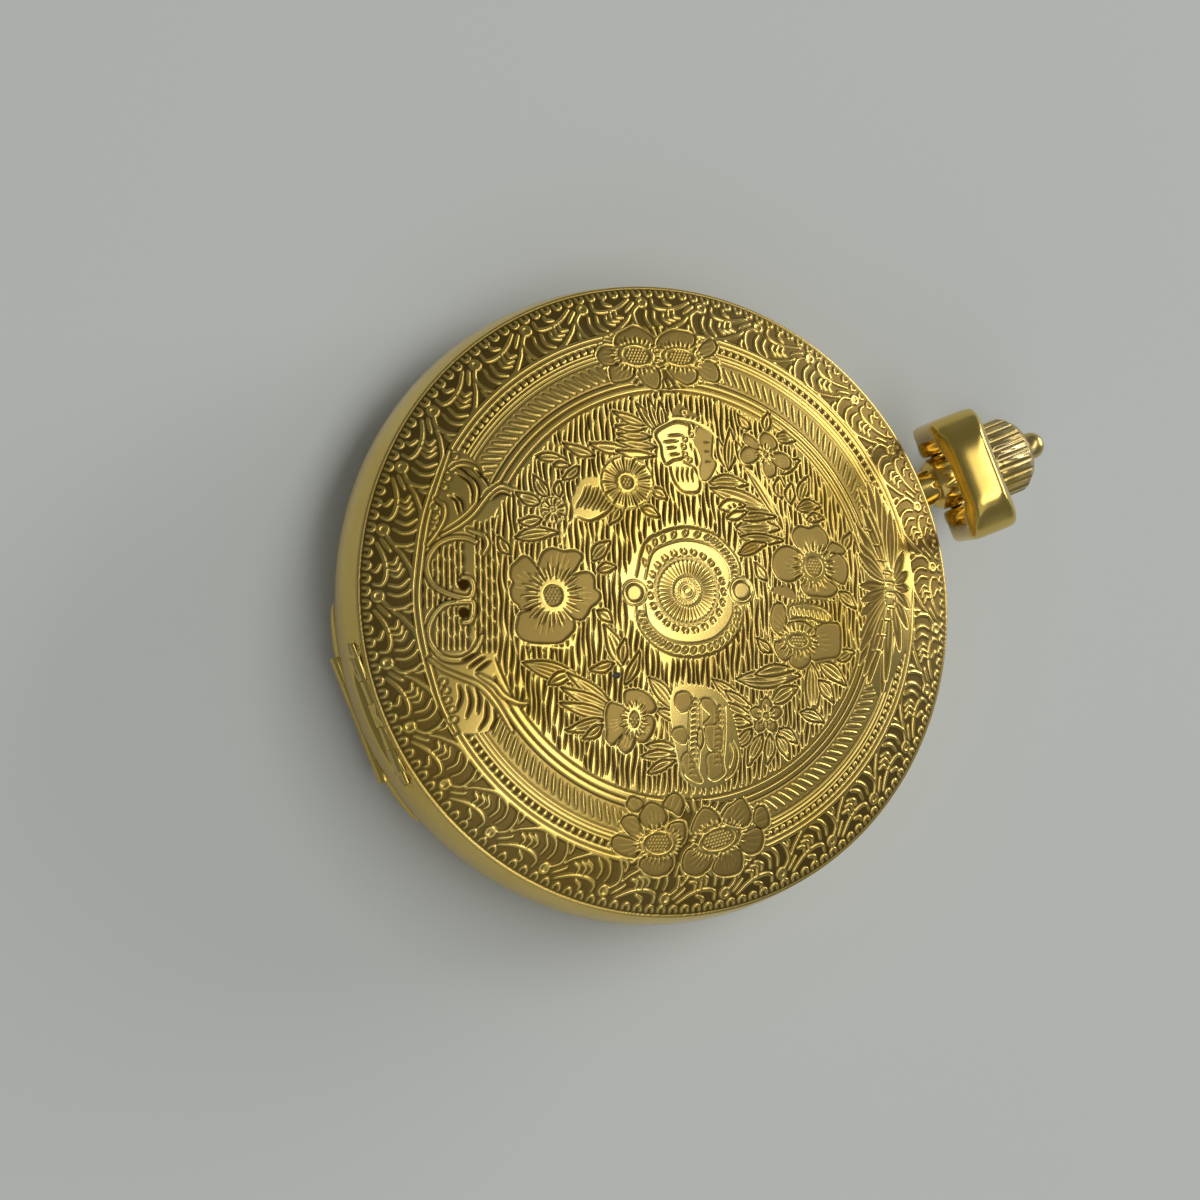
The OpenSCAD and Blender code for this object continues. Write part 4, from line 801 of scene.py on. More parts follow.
def butterfly(art):
    """The winged figure under the middle."""
    wings = [
        [(-0.9, -7.7), (-0.2, -7.5), (0.3, -7.8), (0.2, -8.6), (-0.5, -8.9), (-0.9, -8.5)],
        [(-1.1, -10.3), (-0.3, -10.1), (0.1, -10.6), (0.0, -11.0), (-0.3, -11.2), (-1.0, -10.9)],
        [(-0.3, -12.3), (0.2, -11.9), (0.6, -12.6), (1.0, -13.4), (1.3, -14.0), (0.8, -14.0), (0.1, -13.6),
         (-0.1, -13.0)],
        [(1.2, -8.0), (2.0, -8.1), (2.4, -8.8), (2.5, -9.6), (2.0, -9.9), (1.3, -9.9), (1.9, -9.2),
         (1.3, -8.6)],
        [(1.5, -10.0), (2.6, -10.0), (2.9, -10.8), (2.8, -11.6), (2.0, -11.7), (1.6, -11.0)],
        [(1.7, -12.2), (2.2, -11.9), (2.8, -12.0), (3.0, -12.8), (3.1, -13.4), (2.4, -13.9), (1.9, -13.7),
         (1.8, -13.0)]]
    art.clear([(-1.2, -7.4), (2.6, -7.6), (4.2, -11.0), (4.1, -13.2), (2.6, -14.3), (0.6, -14.3),
               (-0.6, -12.6)], 0.1)
    for shape in wings:
        art.pool(shape, 0.6)
        art.outline(shape, 0.12, 0.9)
    for x, low, high in ((0.6, -13.6, -8.0), (2.6, -13.0, -8.5)):
        y = high
        while y > low:
            art.groove([(x - 0.3, y - 0.12), (x, y), (x + 0.3, y - 0.12)], 0.13, 0.9, 0.5)
            y -= 0.42
        for side in (-1, 1):
            edge = [(x + side * 0.42, high), (x + side * 0.45, (low + high) / 2), (x + side * 0.35, low)]
            art.groove(edge, 0.1, 0.7)
    art.outline([(0.9, -10.3), (1.2, -10.2), (1.3, -11.0), (1.1, -11.6), (0.9, -11.2)], 0.13, 1.0)
    art.groove([(3.7, -11.0), (4.1, -12.0), (3.9, -13.2), (3.2, -13.9)], 0.15, 0.95)
    art.groove([(3.4, -11.2), (3.7, -12.0), (3.5, -13.0)], 0.12, 0.8)


def leaves(art):
    """Leaves, buds and stems of the wreath."""
    # Base, tip, width, bend and number of veins of each leaf
    for row in (
            ((-12.9, 3.8), (-9.8, 4.2), 0.8, 0.12, 2), ((-11.1, 9.9), (-8.9, 9.7), 0.55, 0.1, 1),
            ((-9.9, 9.3), (-8.6, 9.2), 0.4, 0.1, 0), ((-8.0, 9.2), (-9.3, 8.2), 0.5, 0.1, 1),
            ((-6.8, 10.1), (-9.1, 11.0), 0.6, 0.1, 1), ((-4.2, 10.6), (-7.1, 11.0), 0.65, 0.1, 1),
            ((-1.9, 10.9), (-5.0, 11.3), 0.5, 0.06, 1), ((-2.1, 10.2), (-5.1, 10.5), 0.45, 0.06, 0),
            ((-2.3, 11.7), (-4.9, 11.8), 0.5, 0.06, 1), ((-2.6, 12.4), (-5.0, 12.4), 0.5, 0.08, 1),
            ((-2.6, 12.6), (-5.1, 13.6), 0.55, 0.08, 1), ((-1.8, 12.2), (-3.2, 14.3), 0.55, 0.0, 1),
            ((-1.5, 12.2), (-2.2, 14.7), 0.5, 0.0, 1), ((-1.2, 12.3), (-1.3, 14.5), 0.5, 0.0, 1),
            ((3.9, 9.4), (3.2, 11.8), 0.6, 0.1, 1), ((3.9, 9.4), (4.3, 12.6), 0.75, -0.06, 2),
            ((2.3, 8.3), (5.4, 8.3), 0.9, 0.1, 3), ((2.4, 7.8), (7.6, 6.2), 0.95, 0.08, 3),
            ((5.4, 9.5), (8.2, 5.0), 0.45, 0.1, 1), ((8.2, 7.4), (8.2, 9.0), 0.8, 0.1, 2),
            ((9.0, 7.0), (9.2, 8.6), 0.7, 0.1, 1), ((9.9, 7.2), (10.8, 9.2), 0.8, 0.1, 2),
            ((9.6, 6.6), (11.7, 6.9), 0.8, 0.15, 2), ((10.4, 5.8), (11.9, 6.0), 0.6, 0.1, 0),
            ((4.3, 4.9), (7.9, 5.0), 1.1, 0.08, 4), ((4.5, 5.6), (7.7, 5.9), 0.5, 0.06, 1),
            ((4.6, 4.2), (8.2, 4.1), 0.7, -0.08, 2), ((2.9, 6.4), (5.1, 6.7), 0.75, 0.05, 0),
            ((3.5, 5.6), (5.2, 6.2), 0.5, -0.05, 0), ((4.4, 2.9), (6.7, 3.8), 0.7, 0.1, 2),
            ((-12.4, -5.4), (-7.6, -7.1), 1.0, 0.14, 3), ((-10.6, -6.9), (-8.7, -6.1), 0.7, 0.1, 1),
            ((-6.0, -8.3), (-9.3, -6.1), 0.7, 0.05, 2), ((-5.9, -8.7), (-9.7, -7.2), 0.7, 0.05, 2),
            ((-6.1, -9.2), (-9.8, -8.3), 0.7, 0.05, 2), ((-6.6, -9.5), (-9.3, -10.3), 0.7, 0.1, 2),
            ((-6.6, -9.9), (-8.0, -10.9), 0.6, 0.1, 1), ((-5.3, -5.5), (-6.5, -2.6), 0.9, -0.12, 2),
            ((-5.1, -5.4), (-4.9, -3.6), 0.6, 0.1, 1), ((-4.9, -6.9), (-3.8, -4.5), 0.6, -0.1, 1),
            ((-5.8, -5.4), (-7.6, -5.9), 0.6, 0.1, 1), ((-3.0, -6.5), (-0.9, -9.0), 0.8, 0.1, 2),
            ((-2.4, -8.8), (-0.3, -9.8), 0.55, 0.1, 1), ((-3.1, -11.4), (-0.5, -11.8), 0.6, 0.1, 1),
            ((-3.4, -12.2), (-0.7, -12.1), 0.55, 0.1, 1), ((-2.9, -13.4), (-0.8, -12.5), 0.6, 0.1, 1),
            ((4.1, -6.5), (9.4, -6.1), 1.1, -0.12, 3), ((5.6, -6.1), (9.0, -5.7), 0.7, 0.14, 1),
            ((2.1, -6.6), (5.0, -9.0), 0.75, 0.1, 2), ((3.1, -7.4), (5.4, -8.6), 0.6, -0.12, 1),
            ((3.0, -8.3), (5.3, -9.2), 0.6, -0.12, 1), ((3.3, -9.7), (5.3, -9.8), 0.7, 0.1, 2),
            ((7.0, -8.2), (9.2, -7.0), 0.9, 0.1, 3), ((10.4, -5.2), (10.6, -9.3), 1.1, 0.05, 3),
            ((11.1, -5.1), (13.6, -6.8), 0.9, 0.1, 2), ((11.1, -6.5), (12.4, -8.1), 0.8, 0.1, 2),
            ((6.2, -10.6), (5.1, -12.9), 0.8, -0.1, 2), ((6.9, -10.6), (6.7, -12.8), 0.7, 0.1, 2),
            ((7.6, -10.2), (9.3, -11.2), 0.7, 0.1, 2), ((9.5, -8.9), (11.6, -9.6), 0.7, 0.1, 2),
            ((5.8, 9.6), (4.7, 11.6), 0.7, 0.1, 2), ((8.4, 9.3), (10.1, 10.5), 0.7, 0.1, 2),
            ((8.2, 12.1), (9.9, 12.0), 0.7, 0.1, 2), ((6.0, 12.7), (5.1, 13.8), 0.6, 0.1, 1),
            ((7.4, 12.6), (7.8, 14.1), 0.6, 0.1, 1), ((-11.0, 6.4), (-12.8, 7.2), 0.7, 0.1, 2),
            ((-10.4, 6.9), (-11.4, 8.5), 0.7, 0.1, 2), ((-9.6, 6.9), (-9.5, 8.1), 0.55, 0.1, 1),
            ((-11.0, 5.2), (-12.7, 5.0), 0.6, 0.1, 1), ((-3.4, 6.2), (-2.0, 5.5), 0.6, 0.1, 1),
            ((-5.1, 6.2), (-5.9, 4.9), 0.6, 0.1, 1), ((-2.5, 7.6), (-1.3, 6.9), 0.6, 0.1, 1),
            ((13.0, 0.3), (14.5, -0.9), 0.7, 0.1, 2), ((12.8, -4.9), (14.3, -4.2), 0.7, 0.1, 2),
            ((13.6, 3.6), (14.4, 5.0), 0.6, 0.1, 1), ((5.3, -10.2), (3.9, -11.6), 0.7, 0.1, 2),
            ((7.5, -10.7), (8.6, -12.4), 0.7, 0.1, 2), ((6.6, 1.0), (5.7, 2.3), 0.6, 0.1, 1),
            ((6.9, -4.4), (5.7, -3.4), 0.6, 0.1, 1), ((-13.4, 2.6), (-14.2, 3.9), 0.6, 0.1, 1),
            ((-7.0, -1.6), (-5.9, -2.4), 0.6, 0.1, 1), ((-7.3, 2.2), (-5.9, 3.6), 0.8, 0.1, 2),
            ((-6.9, 1.4), (-5.5, 1.7), 0.6, 0.1, 1)):
        leaf(art, *row)
    # The fan of curved cuts beside the round flower
    fan = [(-8.2, 5.2), (-6.8, 5.2), (-5.9, 5.7), (-5.5, 6.4), (-5.8, 8.0), (-7.0, 8.4), (-8.0, 8.0),
           (-8.6, 6.4)]
    art.clear(fan, 0.1)
    for i in range(9):
        x, y = -8.4 + 0.30 * i, 6.1 - 0.04 * i + 0.1 * (i % 2)
        art.groove([(x, y), (x + 0.55, y + 0.75), (x + 0.85, y + 1.6)], 0.17, 0.95)
    art.groove([(-8.3, 5.4), (-7.5, 5.1), (-6.8, 5.3), (-6.0, 5.8), (-5.5, 6.3)], 0.16, 1.0, 0.5)
    art.ridge([(-9.8, 3.2), (-9.3, 4.2), (-8.9, 5.0), (-8.3, 5.7)], 0.22)
    art.ridge([(8.3, 4.6), (8.1, 5.8), (7.4, 7.1), (6.5, 8.4), (5.3, 9.6)], 0.22)
    for x, y in ((3.3, 6.15), (3.75, 6.45), (4.15, 6.6), (4.6, 6.7), (10.7, 5.85), (11.1, 6.0),
                 (11.45, 6.05)):
        art.dot(x, y, 0.12, 0.95, sunk=True)


def left_cartouche(art):
    """Scrolls and feathered leaves that close the rings on the left."""
    edge = [(-17.4, 10.3), (-18.6, 7.0), (-19.3, 4.5), (-19.8, 1.0), (-19.9, -1.0), (-19.6, -3.5),
            (-19.0, -6.0), (-18.2, -8.5), (-17.2, -10.3)]
    bed = edge + [(-14.6, -10.2), (-14.5, -8.3), (-13.4, -8.7), (-14.5, -7.0), (-14.5, -5.0), (-14.5, 0.0),
                  (-14.5, 4.6), (-13.8, 6.4), (-12.9, 7.6), (-14.8, 7.9), (-15.2, 9.3)]
    art.clear(bed, 0.0)
    place, mask = art.area_mask(bed)
    art.dull[place] = np.maximum(art.dull[place], mask * 0.25)
    draw = np.random.default_rng(11)
    for x0, y0, x1, y1 in ((-18.4, 0.3, -16.2, 3.2), (-18.5, -4.4, -16.0, -1.4), (-15.8, -4.6, -14.2, 5.0),
                           (-19.6, -1.4, -17.2, 1.6)):
        for i in range(int((x1 - x0) / 0.4)):
            x = x0 + 0.4 * i
            y = y0
            while y < y1:
                step = draw.uniform(0.8, 1.6)
                art.groove([(x, y), (x + 0.06, y + step / 2), (x, min(y + step, y1))], 0.2, 1.0, 0.85)
                y += step + 0.1
    scrolls = [
        [(-15.8, 3.5), (-16.5, 3.8), (-17.5, 3.8), (-18.4, 3.4), (-19.0, 2.7), (-19.3, 1.9), (-19.2, 1.0),
         (-18.8, 0.3), (-18.0, -0.2), (-17.2, -0.5), (-16.4, -0.6), (-16.1, -0.2), (-16.1, 0.4),
         (-16.4, 0.85), (-16.8, 0.9)],
        [(-17.2, -0.9), (-18.1, -1.1), (-18.8, -1.8), (-19.2, -2.7), (-19.2, -3.6), (-18.7, -4.5),
         (-18.0, -5.0), (-17.0, -5.1), (-16.2, -4.7), (-15.7, -4.0), (-15.5, -3.4)],
        [(-17.2, -0.9), (-16.2, -0.9), (-16.1, -1.6), (-16.3, -2.3), (-16.8, -2.4)]]
    for line in scrolls:
        art.groove(line, 0.62, 0.95, 0.15)
    for line in scrolls:
        art.ridge(line, 0.32, 0.0, 0.2)
        art.groove(line, 0.07, 0.5, 0.2)
    for y in (0.35, -1.7):
        art.dot(-16.75, y, 0.42, 1.0)
    for line in (edge, [(-18.2, 4.0), (-17.0, 4.7), (-16.0, 5.5), (-15.2, 6.5), (-14.6, 7.2), (-13.8, 7.7),
                        (-12.9, 7.4)],
                 [(-19.2, 3.3), (-18.5, 4.3), (-18.0, 5.3), (-18.0, 6.2), (-18.5, 6.7)],
                 [(-19.2, -5.0), (-18.3, -5.7), (-17.0, -6.3), (-15.9, -6.8), (-15.0, -7.6), (-14.1, -8.8),
                  (-13.2, -10.3)],
                 [(-15.7, -6.2), (-14.6, -6.9), (-13.9, -7.7), (-12.9, -8.2), (-12.2, -8.3)],
                 [(-17.4, 8.9), (-16.7, 9.3), (-15.9, 9.2), (-15.3, 8.5)],
                 [(-15.3, 2.6), (-15.0, 3.3), (-15.3, 4.0), (-16.3, 4.4)]):
        art.groove(line, 0.56, 0.95, 0.2)
        art.ridge(line, 0.28, 0.0, 0.3)
    for line in (
            [(-17.0, 8.6), (-16.2, 8.0), (-15.9, 7.2), (-16.0, 6.3)],
            [(-16.3, 8.7), (-15.6, 8.0), (-15.4, 7.2), (-15.6, 6.3)],
            [(-17.6, 6.9), (-17.1, 6.5), (-16.9, 5.5)], [(-17.2, 7.0), (-16.7, 6.5), (-16.6, 5.7)],
            [(-15.6, 8.9), (-15.0, 8.2), (-14.7, 7.6)], [(-16.9, 9.1), (-16.4, 8.8), (-16.1, 8.4)],
            [(-16.9, -5.2), (-15.7, -4.6)], [(-16.4, -5.7), (-15.3, -4.9)], [(-15.9, -6.0), (-14.9, -5.2)],
            [(-16.5, -7.0), (-16.2, -8.2), (-16.5, -9.3)], [(-15.9, -7.0), (-15.6, -8.0), (-15.7, -9.0)],
            [(-15.1, -8.0), (-15.1, -9.3), (-15.6, -10.2)], [(-14.5, -8.7), (-14.4, -9.5), (-14.8, -10.3)],
            [(-17.1, -6.9), (-16.9, -7.8), (-17.2, -8.8)], [(-14.6, 6.6), (-13.8, 7.1), (-13.1, 6.9)]):
        art.groove(line, 0.24, 1.0, 0.7)
    for x, y in ((-18.6, 6.1), (-18.6, 5.4), (-18.8, 4.6), (-17.6, 8.3), (-17.9, 7.6), (-18.2, -6.7),
                 (-18.0, -7.3), (-17.9, -8.0), (-17.6, -8.7), (-17.4, -9.4), (-17.0, 9.9)):
        art.dot(x, y, 0.33, 0.95)
        art.dot(x, y, 0.22)


def right_palm(art):
    """The palm of pointed blades that closes the rings on the right."""
    root = np.array((18.0, 1.0))
    tips = [(15.4, 8.6), (16.3, 9.2), (17.1, 8.9), (17.7, 7.5), (18.7, 6.3), (14.9, 5.8), (15.1, 4.2),
            (15.2, 2.6), (14.9, 0.9), (14.9, -1.4), (14.8, -3.2), (14.7, -5.2), (15.6, -6.6), (16.9, -7.4),
            (17.7, -5.2), (18.7, -4.0), (19.5, -2.2), (19.7, -0.6), (19.7, 0.9), (19.7, 2.2), (19.4, 3.8),
            (18.3, 7.0), (16.2, 7.2), (15.6, 7.2), (14.8, -4.2), (15.0, -0.3), (15.0, 3.4), (15.2, -6.0),
            (17.3, -6.4)]
    bed = [(15.6, 6.0), (16.3, 9.0), (17.4, 8.4), (18.8, 6.2), (19.9, 3.2), (20.0, 0.0), (19.6, -3.2),
           (18.2, -5.6), (16.9, -7.4), (15.8, -6.4), (15.4, -3.0), (15.6, 1.0), (15.5, 4.0)]
    art.clear(bed, 0.0)
    for tip in tips:
        along = np.array(tip) - root
        near = root + along * 0.22
        across = np.array([-along[1], along[0]]) / np.hypot(*along)
        middle = root + along * 0.62
        blade = [near, middle + across * 0.34, tip, middle - across * 0.34]
        art.clear(blade, 0.12)
        art.pool(blade, 1.0, 0.3)
        art.ridge([near, root + along * 0.7], 0.08, 0.4, 0.8)
    for x, y in ((15.9, 5.3), (16.6, 4.2), (17.0, 3.0), (17.5, 2.0), (17.7, 1.2), (17.8, 0.4), (17.8, -0.6),
                 (17.4, -1.6), (16.9, -2.8), (16.4, -4.0)):
        art.groove([(x - 0.35, y), (x + 0.65, y)], 0.3, 0.9, 0.9)
        art.ridge([(x - 0.4, y), (x + 0.5, y)], 0.2, 0.0, 0.9)


def ring_flowers(art):
    """The pairs of flowers that close the rings at the top and at the bottom."""
    for x, y, rx, ry in ((-0.9, 18.0, 4.9, 2.5), (1.0, -18.2, 6.0, 2.8)):
        place, mask = art.area_mask(oval((x, y), rx, ry))
        art.lift(place, mask, 0.9)
        for angle in evenly(52):
            (ax, ay), (bx, by) = polar(0.7, angle), polar(1.02, angle + 3)
            art.ridge([(x + ax * rx, y + ay * ry), (x + bx * rx, y + by * ry)], 0.24, 0.0, 0.5)
    sunk_flower(art, (-2.7, 18.1), (1.1, 0.72), 0.55, 30, [
        [(-4.2, 18.8), (-4.3, 19.2), (-4.0, 19.7), (-3.2, 20.2), (-2.5, 20.5), (-1.7, 20.1), (-1.2, 19.6),
         (-1.15, 19.1), (-2.0, 18.9), (-3.2, 18.9)],
        [(-5.85, 17.9), (-5.5, 18.5), (-5.0, 18.75), (-4.2, 18.6), (-4.0, 18.0), (-4.2, 17.4), (-5.3, 17.25)],
        [(-4.9, 17.1), (-5.0, 16.4), (-4.8, 15.9), (-3.8, 16.05), (-3.2, 16.4), (-3.0, 17.1), (-3.9, 17.3)],
        [(-2.8, 17.1), (-2.6, 16.2), (-2.0, 15.7), (-1.4, 15.5), (-1.1, 16.0), (-1.05, 16.8), (-1.5, 17.2)],
        [(-1.3, 18.6), (-0.9, 18.6), (-0.55, 18.1), (-0.6, 17.4), (-1.0, 17.2), (-1.5, 17.5)]], hub=1.3)
    sunk_flower(art, (0.8, 18.15), (1.1, 0.6), 0.5, 30, [
        [(-0.9, 18.9), (-0.7, 19.6), (0.0, 20.1), (0.8, 20.35), (2.0, 20.2), (2.3, 19.8), (1.9, 19.1),
         (0.5, 18.9)],
        [(-0.4, 17.4), (0.0, 16.6), (0.6, 16.2), (1.2, 16.0), (1.9, 16.4), (2.0, 17.2), (1.2, 17.5),
         (0.4, 17.4)],
        [(2.0, 17.6), (2.3, 16.8), (2.9, 16.4), (3.7, 16.4), (3.9, 17.2), (3.5, 17.9), (2.6, 17.9)],
        [(2.2, 18.5), (2.7, 19.2), (3.2, 19.6), (3.8, 19.8), (4.0, 19.1), (3.4, 18.5), (2.6, 18.2)]], hub=1.3)
    art.outline(oval((-0.45, 16.0), 0.45, 0.5), 0.13, 0.9)
    sunk_flower(art, (-1.8, -18.55), (1.05, 0.72), 0.5, 30, [
        [(-3.35, -16.7), (-3.2, -16.1), (-2.7, -15.6), (-1.9, -15.8), (-1.4, -16.3), (-1.3, -16.9),
         (-1.9, -17.4), (-2.8, -17.4)],
        [(-4.8, -17.0), (-4.3, -16.5), (-3.6, -16.6), (-3.3, -17.2), (-3.1, -17.9), (-3.9, -18.0)],
        [(-5.3, -18.8), (-5.3, -18.1), (-4.6, -18.0), (-3.5, -18.4), (-3.2, -19.0), (-3.6, -19.5),
         (-4.6, -19.3)],
        [(-3.1, -20.0), (-2.7, -20.6), (-1.8, -20.95), (-0.9, -20.7), (-0.5, -20.1), (-0.7, -19.5),
         (-1.6, -19.6), (-2.6, -19.5)],
        [(-1.1, -17.6), (-0.8, -17.1), (0.1, -17.1), (0.3, -18.0), (0.0, -18.6), (-0.6, -18.5)],
        [(-1.6, -15.8), (-1.3, -15.2), (-0.8, -14.9), (-0.2, -15.2), (0.0, -15.8), (-0.3, -16.5),
         (-0.9, -16.2)],
        [(-4.4, -15.9), (-4.2, -15.2), (-3.5, -15.3), (-3.1, -15.7), (-3.7, -16.2)]], hub=1.3)
    sunk_flower(art, (3.0, -18.3), (1.35, 0.75), 0.5, 34, [
        [(0.85, -17.8), (0.9, -17.1), (1.3, -16.3), (1.7, -16.0), (2.4, -16.2), (3.0, -16.8), (2.7, -17.4),
         (1.9, -17.7)],
        [(3.2, -16.9), (3.5, -16.1), (4.0, -15.7), (4.7, -15.3), (5.3, -15.9), (5.6, -16.6), (5.2, -17.3),
         (4.2, -17.3)],
        [(6.0, -16.1), (6.6, -15.9), (7.1, -16.5), (7.1, -17.3), (6.5, -17.5), (5.9, -17.0)],
        [(5.1, -18.0), (5.9, -17.5), (6.5, -17.6), (6.8, -18.3), (6.5, -19.2), (5.6, -19.4), (4.9, -18.8)],
        [(3.1, -19.7), (3.8, -19.1), (4.6, -19.0), (5.1, -19.4), (5.2, -20.1), (5.0, -20.7), (4.2, -21.0),
         (3.2, -20.9), (2.8, -20.4)],
        [(0.3, -19.9), (0.5, -19.2), (1.2, -18.8), (1.9, -19.2), (2.7, -19.6), (2.5, -20.3), (1.8, -20.9),
         (1.1, -20.9), (0.5, -20.6)]], tilt=15.0, hub=1.25)


def draw_cover():
    """Everything cut into the front cover, each part over those before it."""
    drawn = Engraving()
    for part in (field_hatch, bands, border, left_cartouche, right_palm, leaves, big_flowers, top_flower,
                 butterfly, ring_flowers, medallion):
        part(drawn)
    # A worn dark spot beside the middle
    drawn.pool([(-5.9, -6.3), (-5.6, -6.1), (-5.3, -6.2), (-5.4, -6.45), (-5.7, -6.4)], 0.6, 0.2)
    place, mask = drawn.area_mask([(-5.9, -6.3), (-5.6, -6.05), (-5.25, -6.2), (-5.4, -6.5), (-5.7, -6.45)])
    drawn.soil[place] = np.maximum(drawn.soil[place], mask)
    return drawn


def soften(grid):
    """Rounds the edges of the cuts a little."""
    for axis in (0, 1):
        grid = (grid + np.roll(grid, 1, axis) + np.roll(grid, -1, axis)) / 3
    return grid


engraved = draw_cover()
relief = soften(engraved.cut)


def dome_height(radius):
    """Height of the solid cover at a radius."""
    return RIM_Z + DOME_H * np.maximum(0.0, 1 - (radius / COVER_R) ** 2) ** DOME_CURVE


def sample(grid, x, y):
    """Value of a grid at the given points, between its samples."""
    u = np.clip((x + HALF) / PITCH, 0, COUNT - 1.001)
    v = np.clip((y + HALF) / PITCH, 0, COUNT - 1.001)
    i, j = u.astype(int), v.astype(int)
    a, b = u - i, v - j
    return (grid[j, i] * (1 - a) * (1 - b) + grid[j, i + 1] * a * (1 - b)
            + grid[j + 1, i] * (1 - a) * b + grid[j + 1, i + 1] * a * b)


# Outer radii of the engraved sheets
MEDALLION_SHEET_R = 5.2
FIELD_SHEET_R = 16.2
BORDER_SHEET_R = 24.03
# Share of a border sheet that lies on the dome before it turns down, the gap it leaves
# above the lower edge, and how far inside the cover's rim the dome is read last
DOME_SHARE = 0.93
EDGE_GAP = 0.03
RIM_MARGIN = 0.02
# Share of the full number of rings and spokes that the sheets get
fine = 1.0


def skin_patch(name, r0, r1, a0, a1, rings, spokes, rim=False):
    """A sheet of the engraved cover between two radii and two angles."""
    deselect()
    bpy.ops.mesh.primitive_grid_add(x_subdivisions=int(spokes * fine), y_subdivisions=int(rings * fine),
                                    size=1.0)
    piece = bpy.context.active_object
    piece.name = name
    flat = np.zeros(len(piece.data.vertices) * 3, np.float32)
    piece.data.vertices.foreach_get("co", flat)
    flat = flat.reshape(-1, 3).astype(float)
    angle = np.radians(a0 + (a1 - a0) * (0.5 - flat[:, 0]))
    share = flat[:, 1] + 0.5
    if rim:
        # The last rings turn down over the edge of the cover
        over = np.clip((share - DOME_SHARE) / (1 - DOME_SHARE), 0, 1)
        radius = np.where(share < DOME_SHARE, r0 + (r1 - r0) * share / DOME_SHARE, r1)
        drop = over * (RIM_Z - EDGE_Z - EDGE_GAP)
    else:
        radius = r0 + (r1 - r0) * share
        drop = 0.0
    x, y = radius * np.cos(angle), radius * np.sin(angle)
    lift = SKIN_LIFT + CUT_DEPTH * (1 - sample(relief, x, y))
    height = dome_height(np.minimum(radius, COVER_R - RIM_MARGIN)) + lift - drop
    points = np.column_stack([turned(np.stack([x, y], 1), ORNAMENT_TURN), height])
    piece.data.vertices.foreach_set("co", (points * MM).astype(np.float32).ravel())
    for label, grid in (("cut", relief), ("dull", engraved.dull), ("soil", engraved.soil)):
        layer = piece.data.attributes.new(label, "FLOAT", "POINT")
        layer.data.foreach_set("value", sample(grid, x, y).astype(np.float32))
    piece.data.update()
    if piece.data.polygons[0].normal.z < 0:
        piece.data.flip_normals()
    piece.data.polygons.foreach_set("use_smooth", np.ones(len(piece.data.polygons), bool))
    if r0 == 0.0:
        # The pole and the seam of a whole disc are closed
        weld(piece, 0.000001)
    coat(piece, finish["engraved"])
    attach(piece, "front_cover")


skin_patch("cover_medallion", 0.0, MEDALLION_SHEET_R, 0.0, 360.0, 87, 600)
for k in range(5):
    skin_patch(f"cover_field_{k + 1}", MEDALLION_SHEET_R, FIELD_SHEET_R, 72.0 * k, 72.0 * (k + 1), 225, 400)
for k in range(4):
    skin_patch(f"cover_border_{k + 1}", FIELD_SHEET_R, BORDER_SHEET_R, 90.0 * k, 90.0 * (k + 1), 140, 640,
               rim=True)


# Bow: the frame's band, with its edges rounded by a fine remesh and a long smoothing
BOW_VOXEL = 0.15 * MM
BOW_PASSES = 90


def rounded_bow():
    piece = copy_of("bow", "bow_band")
    shell = piece.modifiers.new("shell", "REMESH")
    shell.mode = "VOXEL"
    shell.voxel_size = BOW_VOXEL
    ease = piece.modifiers.new("ease", "SMOOTH")
    ease.factor = 0.5
    ease.iterations = BOW_PASSES
    apply_modifiers(piece, "shell", "ease")
    bpy.ops.object.shade_smooth()
    coat(piece, finish["gold"])
    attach(piece, "bow")
    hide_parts("bow")


rounded_bow()

# Every other node gets its finish by its slot, or by its name where that differs
BY_SLOT = {
    "gold": "gold", "steel": "steel", "blued_steel": "blued", "crystal": "glass", "enamel": "enamel",
    "gilt_plate": "plate", "gilt_wheel": "wheel", "ruby": "ruby",
}
BY_NAME = {
    "crown": "worn", "crown_button": "worn",
    "barrel_bridge": "bridge", "train_bridge": "bridge", "balance_cock": "bridge",
    "lock_spring": "spring", "lift_spring": "spring", "mainspring": "spring", "click_spring": "spring",
}
# The springs keep the frame's own meshes
SPRINGS = ("hairspring", "mainspring", "lock_spring", "lift_spring", "click_spring")

bodies = frame["record"]["behaviour"]["bodies"]
body_of = {node: body for body, members in bodies.items() for node in members}
slots = {row["node"]: row["material_slot"] for row in frame["record"]["subparts"]}
for node in frame["nodes"]:
    material = finish[BY_NAME.get(node, BY_SLOT[slots[node]])]
    if node in SPRINGS:
        coat(frame["nodes"][node], material)
    elif node != "bow":
        polished_copy(node, body_of[node], material)


# Print on the dial, made of small flat pieces
PRINT_THICK = 0.012
TRACK_R = (18.0, 19.0)
TRACK_LINE = 0.09
NUMERAL_R = 15.3
NUMERAL_H = 3.9
SECONDS_MIDDLE = (0.0, -9.6)
SECONDS_SINK = 0.08
SECONDS_R = (3.4, 3.95)
SECONDS_LONG_R = 3.1
SECONDS_LINE = 0.06
NUMERALS = ("XII", "I", "II", "III", "IIII", "V", "VI", "VII", "VIII", "IX", "X", "XI")
# Width of each letter, and where along it the thick and the thin stroke have their feet and tops
LETTER_WIDTH = {"I": 0.78, "V": 1.85, "X": 1.85}
LETTER_FEET = {"V": (0.5, 0.5), "X": (0.8, 0.16)}
LETTER_TOPS = (0.2, 0.84)
# Widths of the strokes
UPRIGHT = 0.4
THICK_THIN = (0.42, 0.14)
SERIF = 0.12


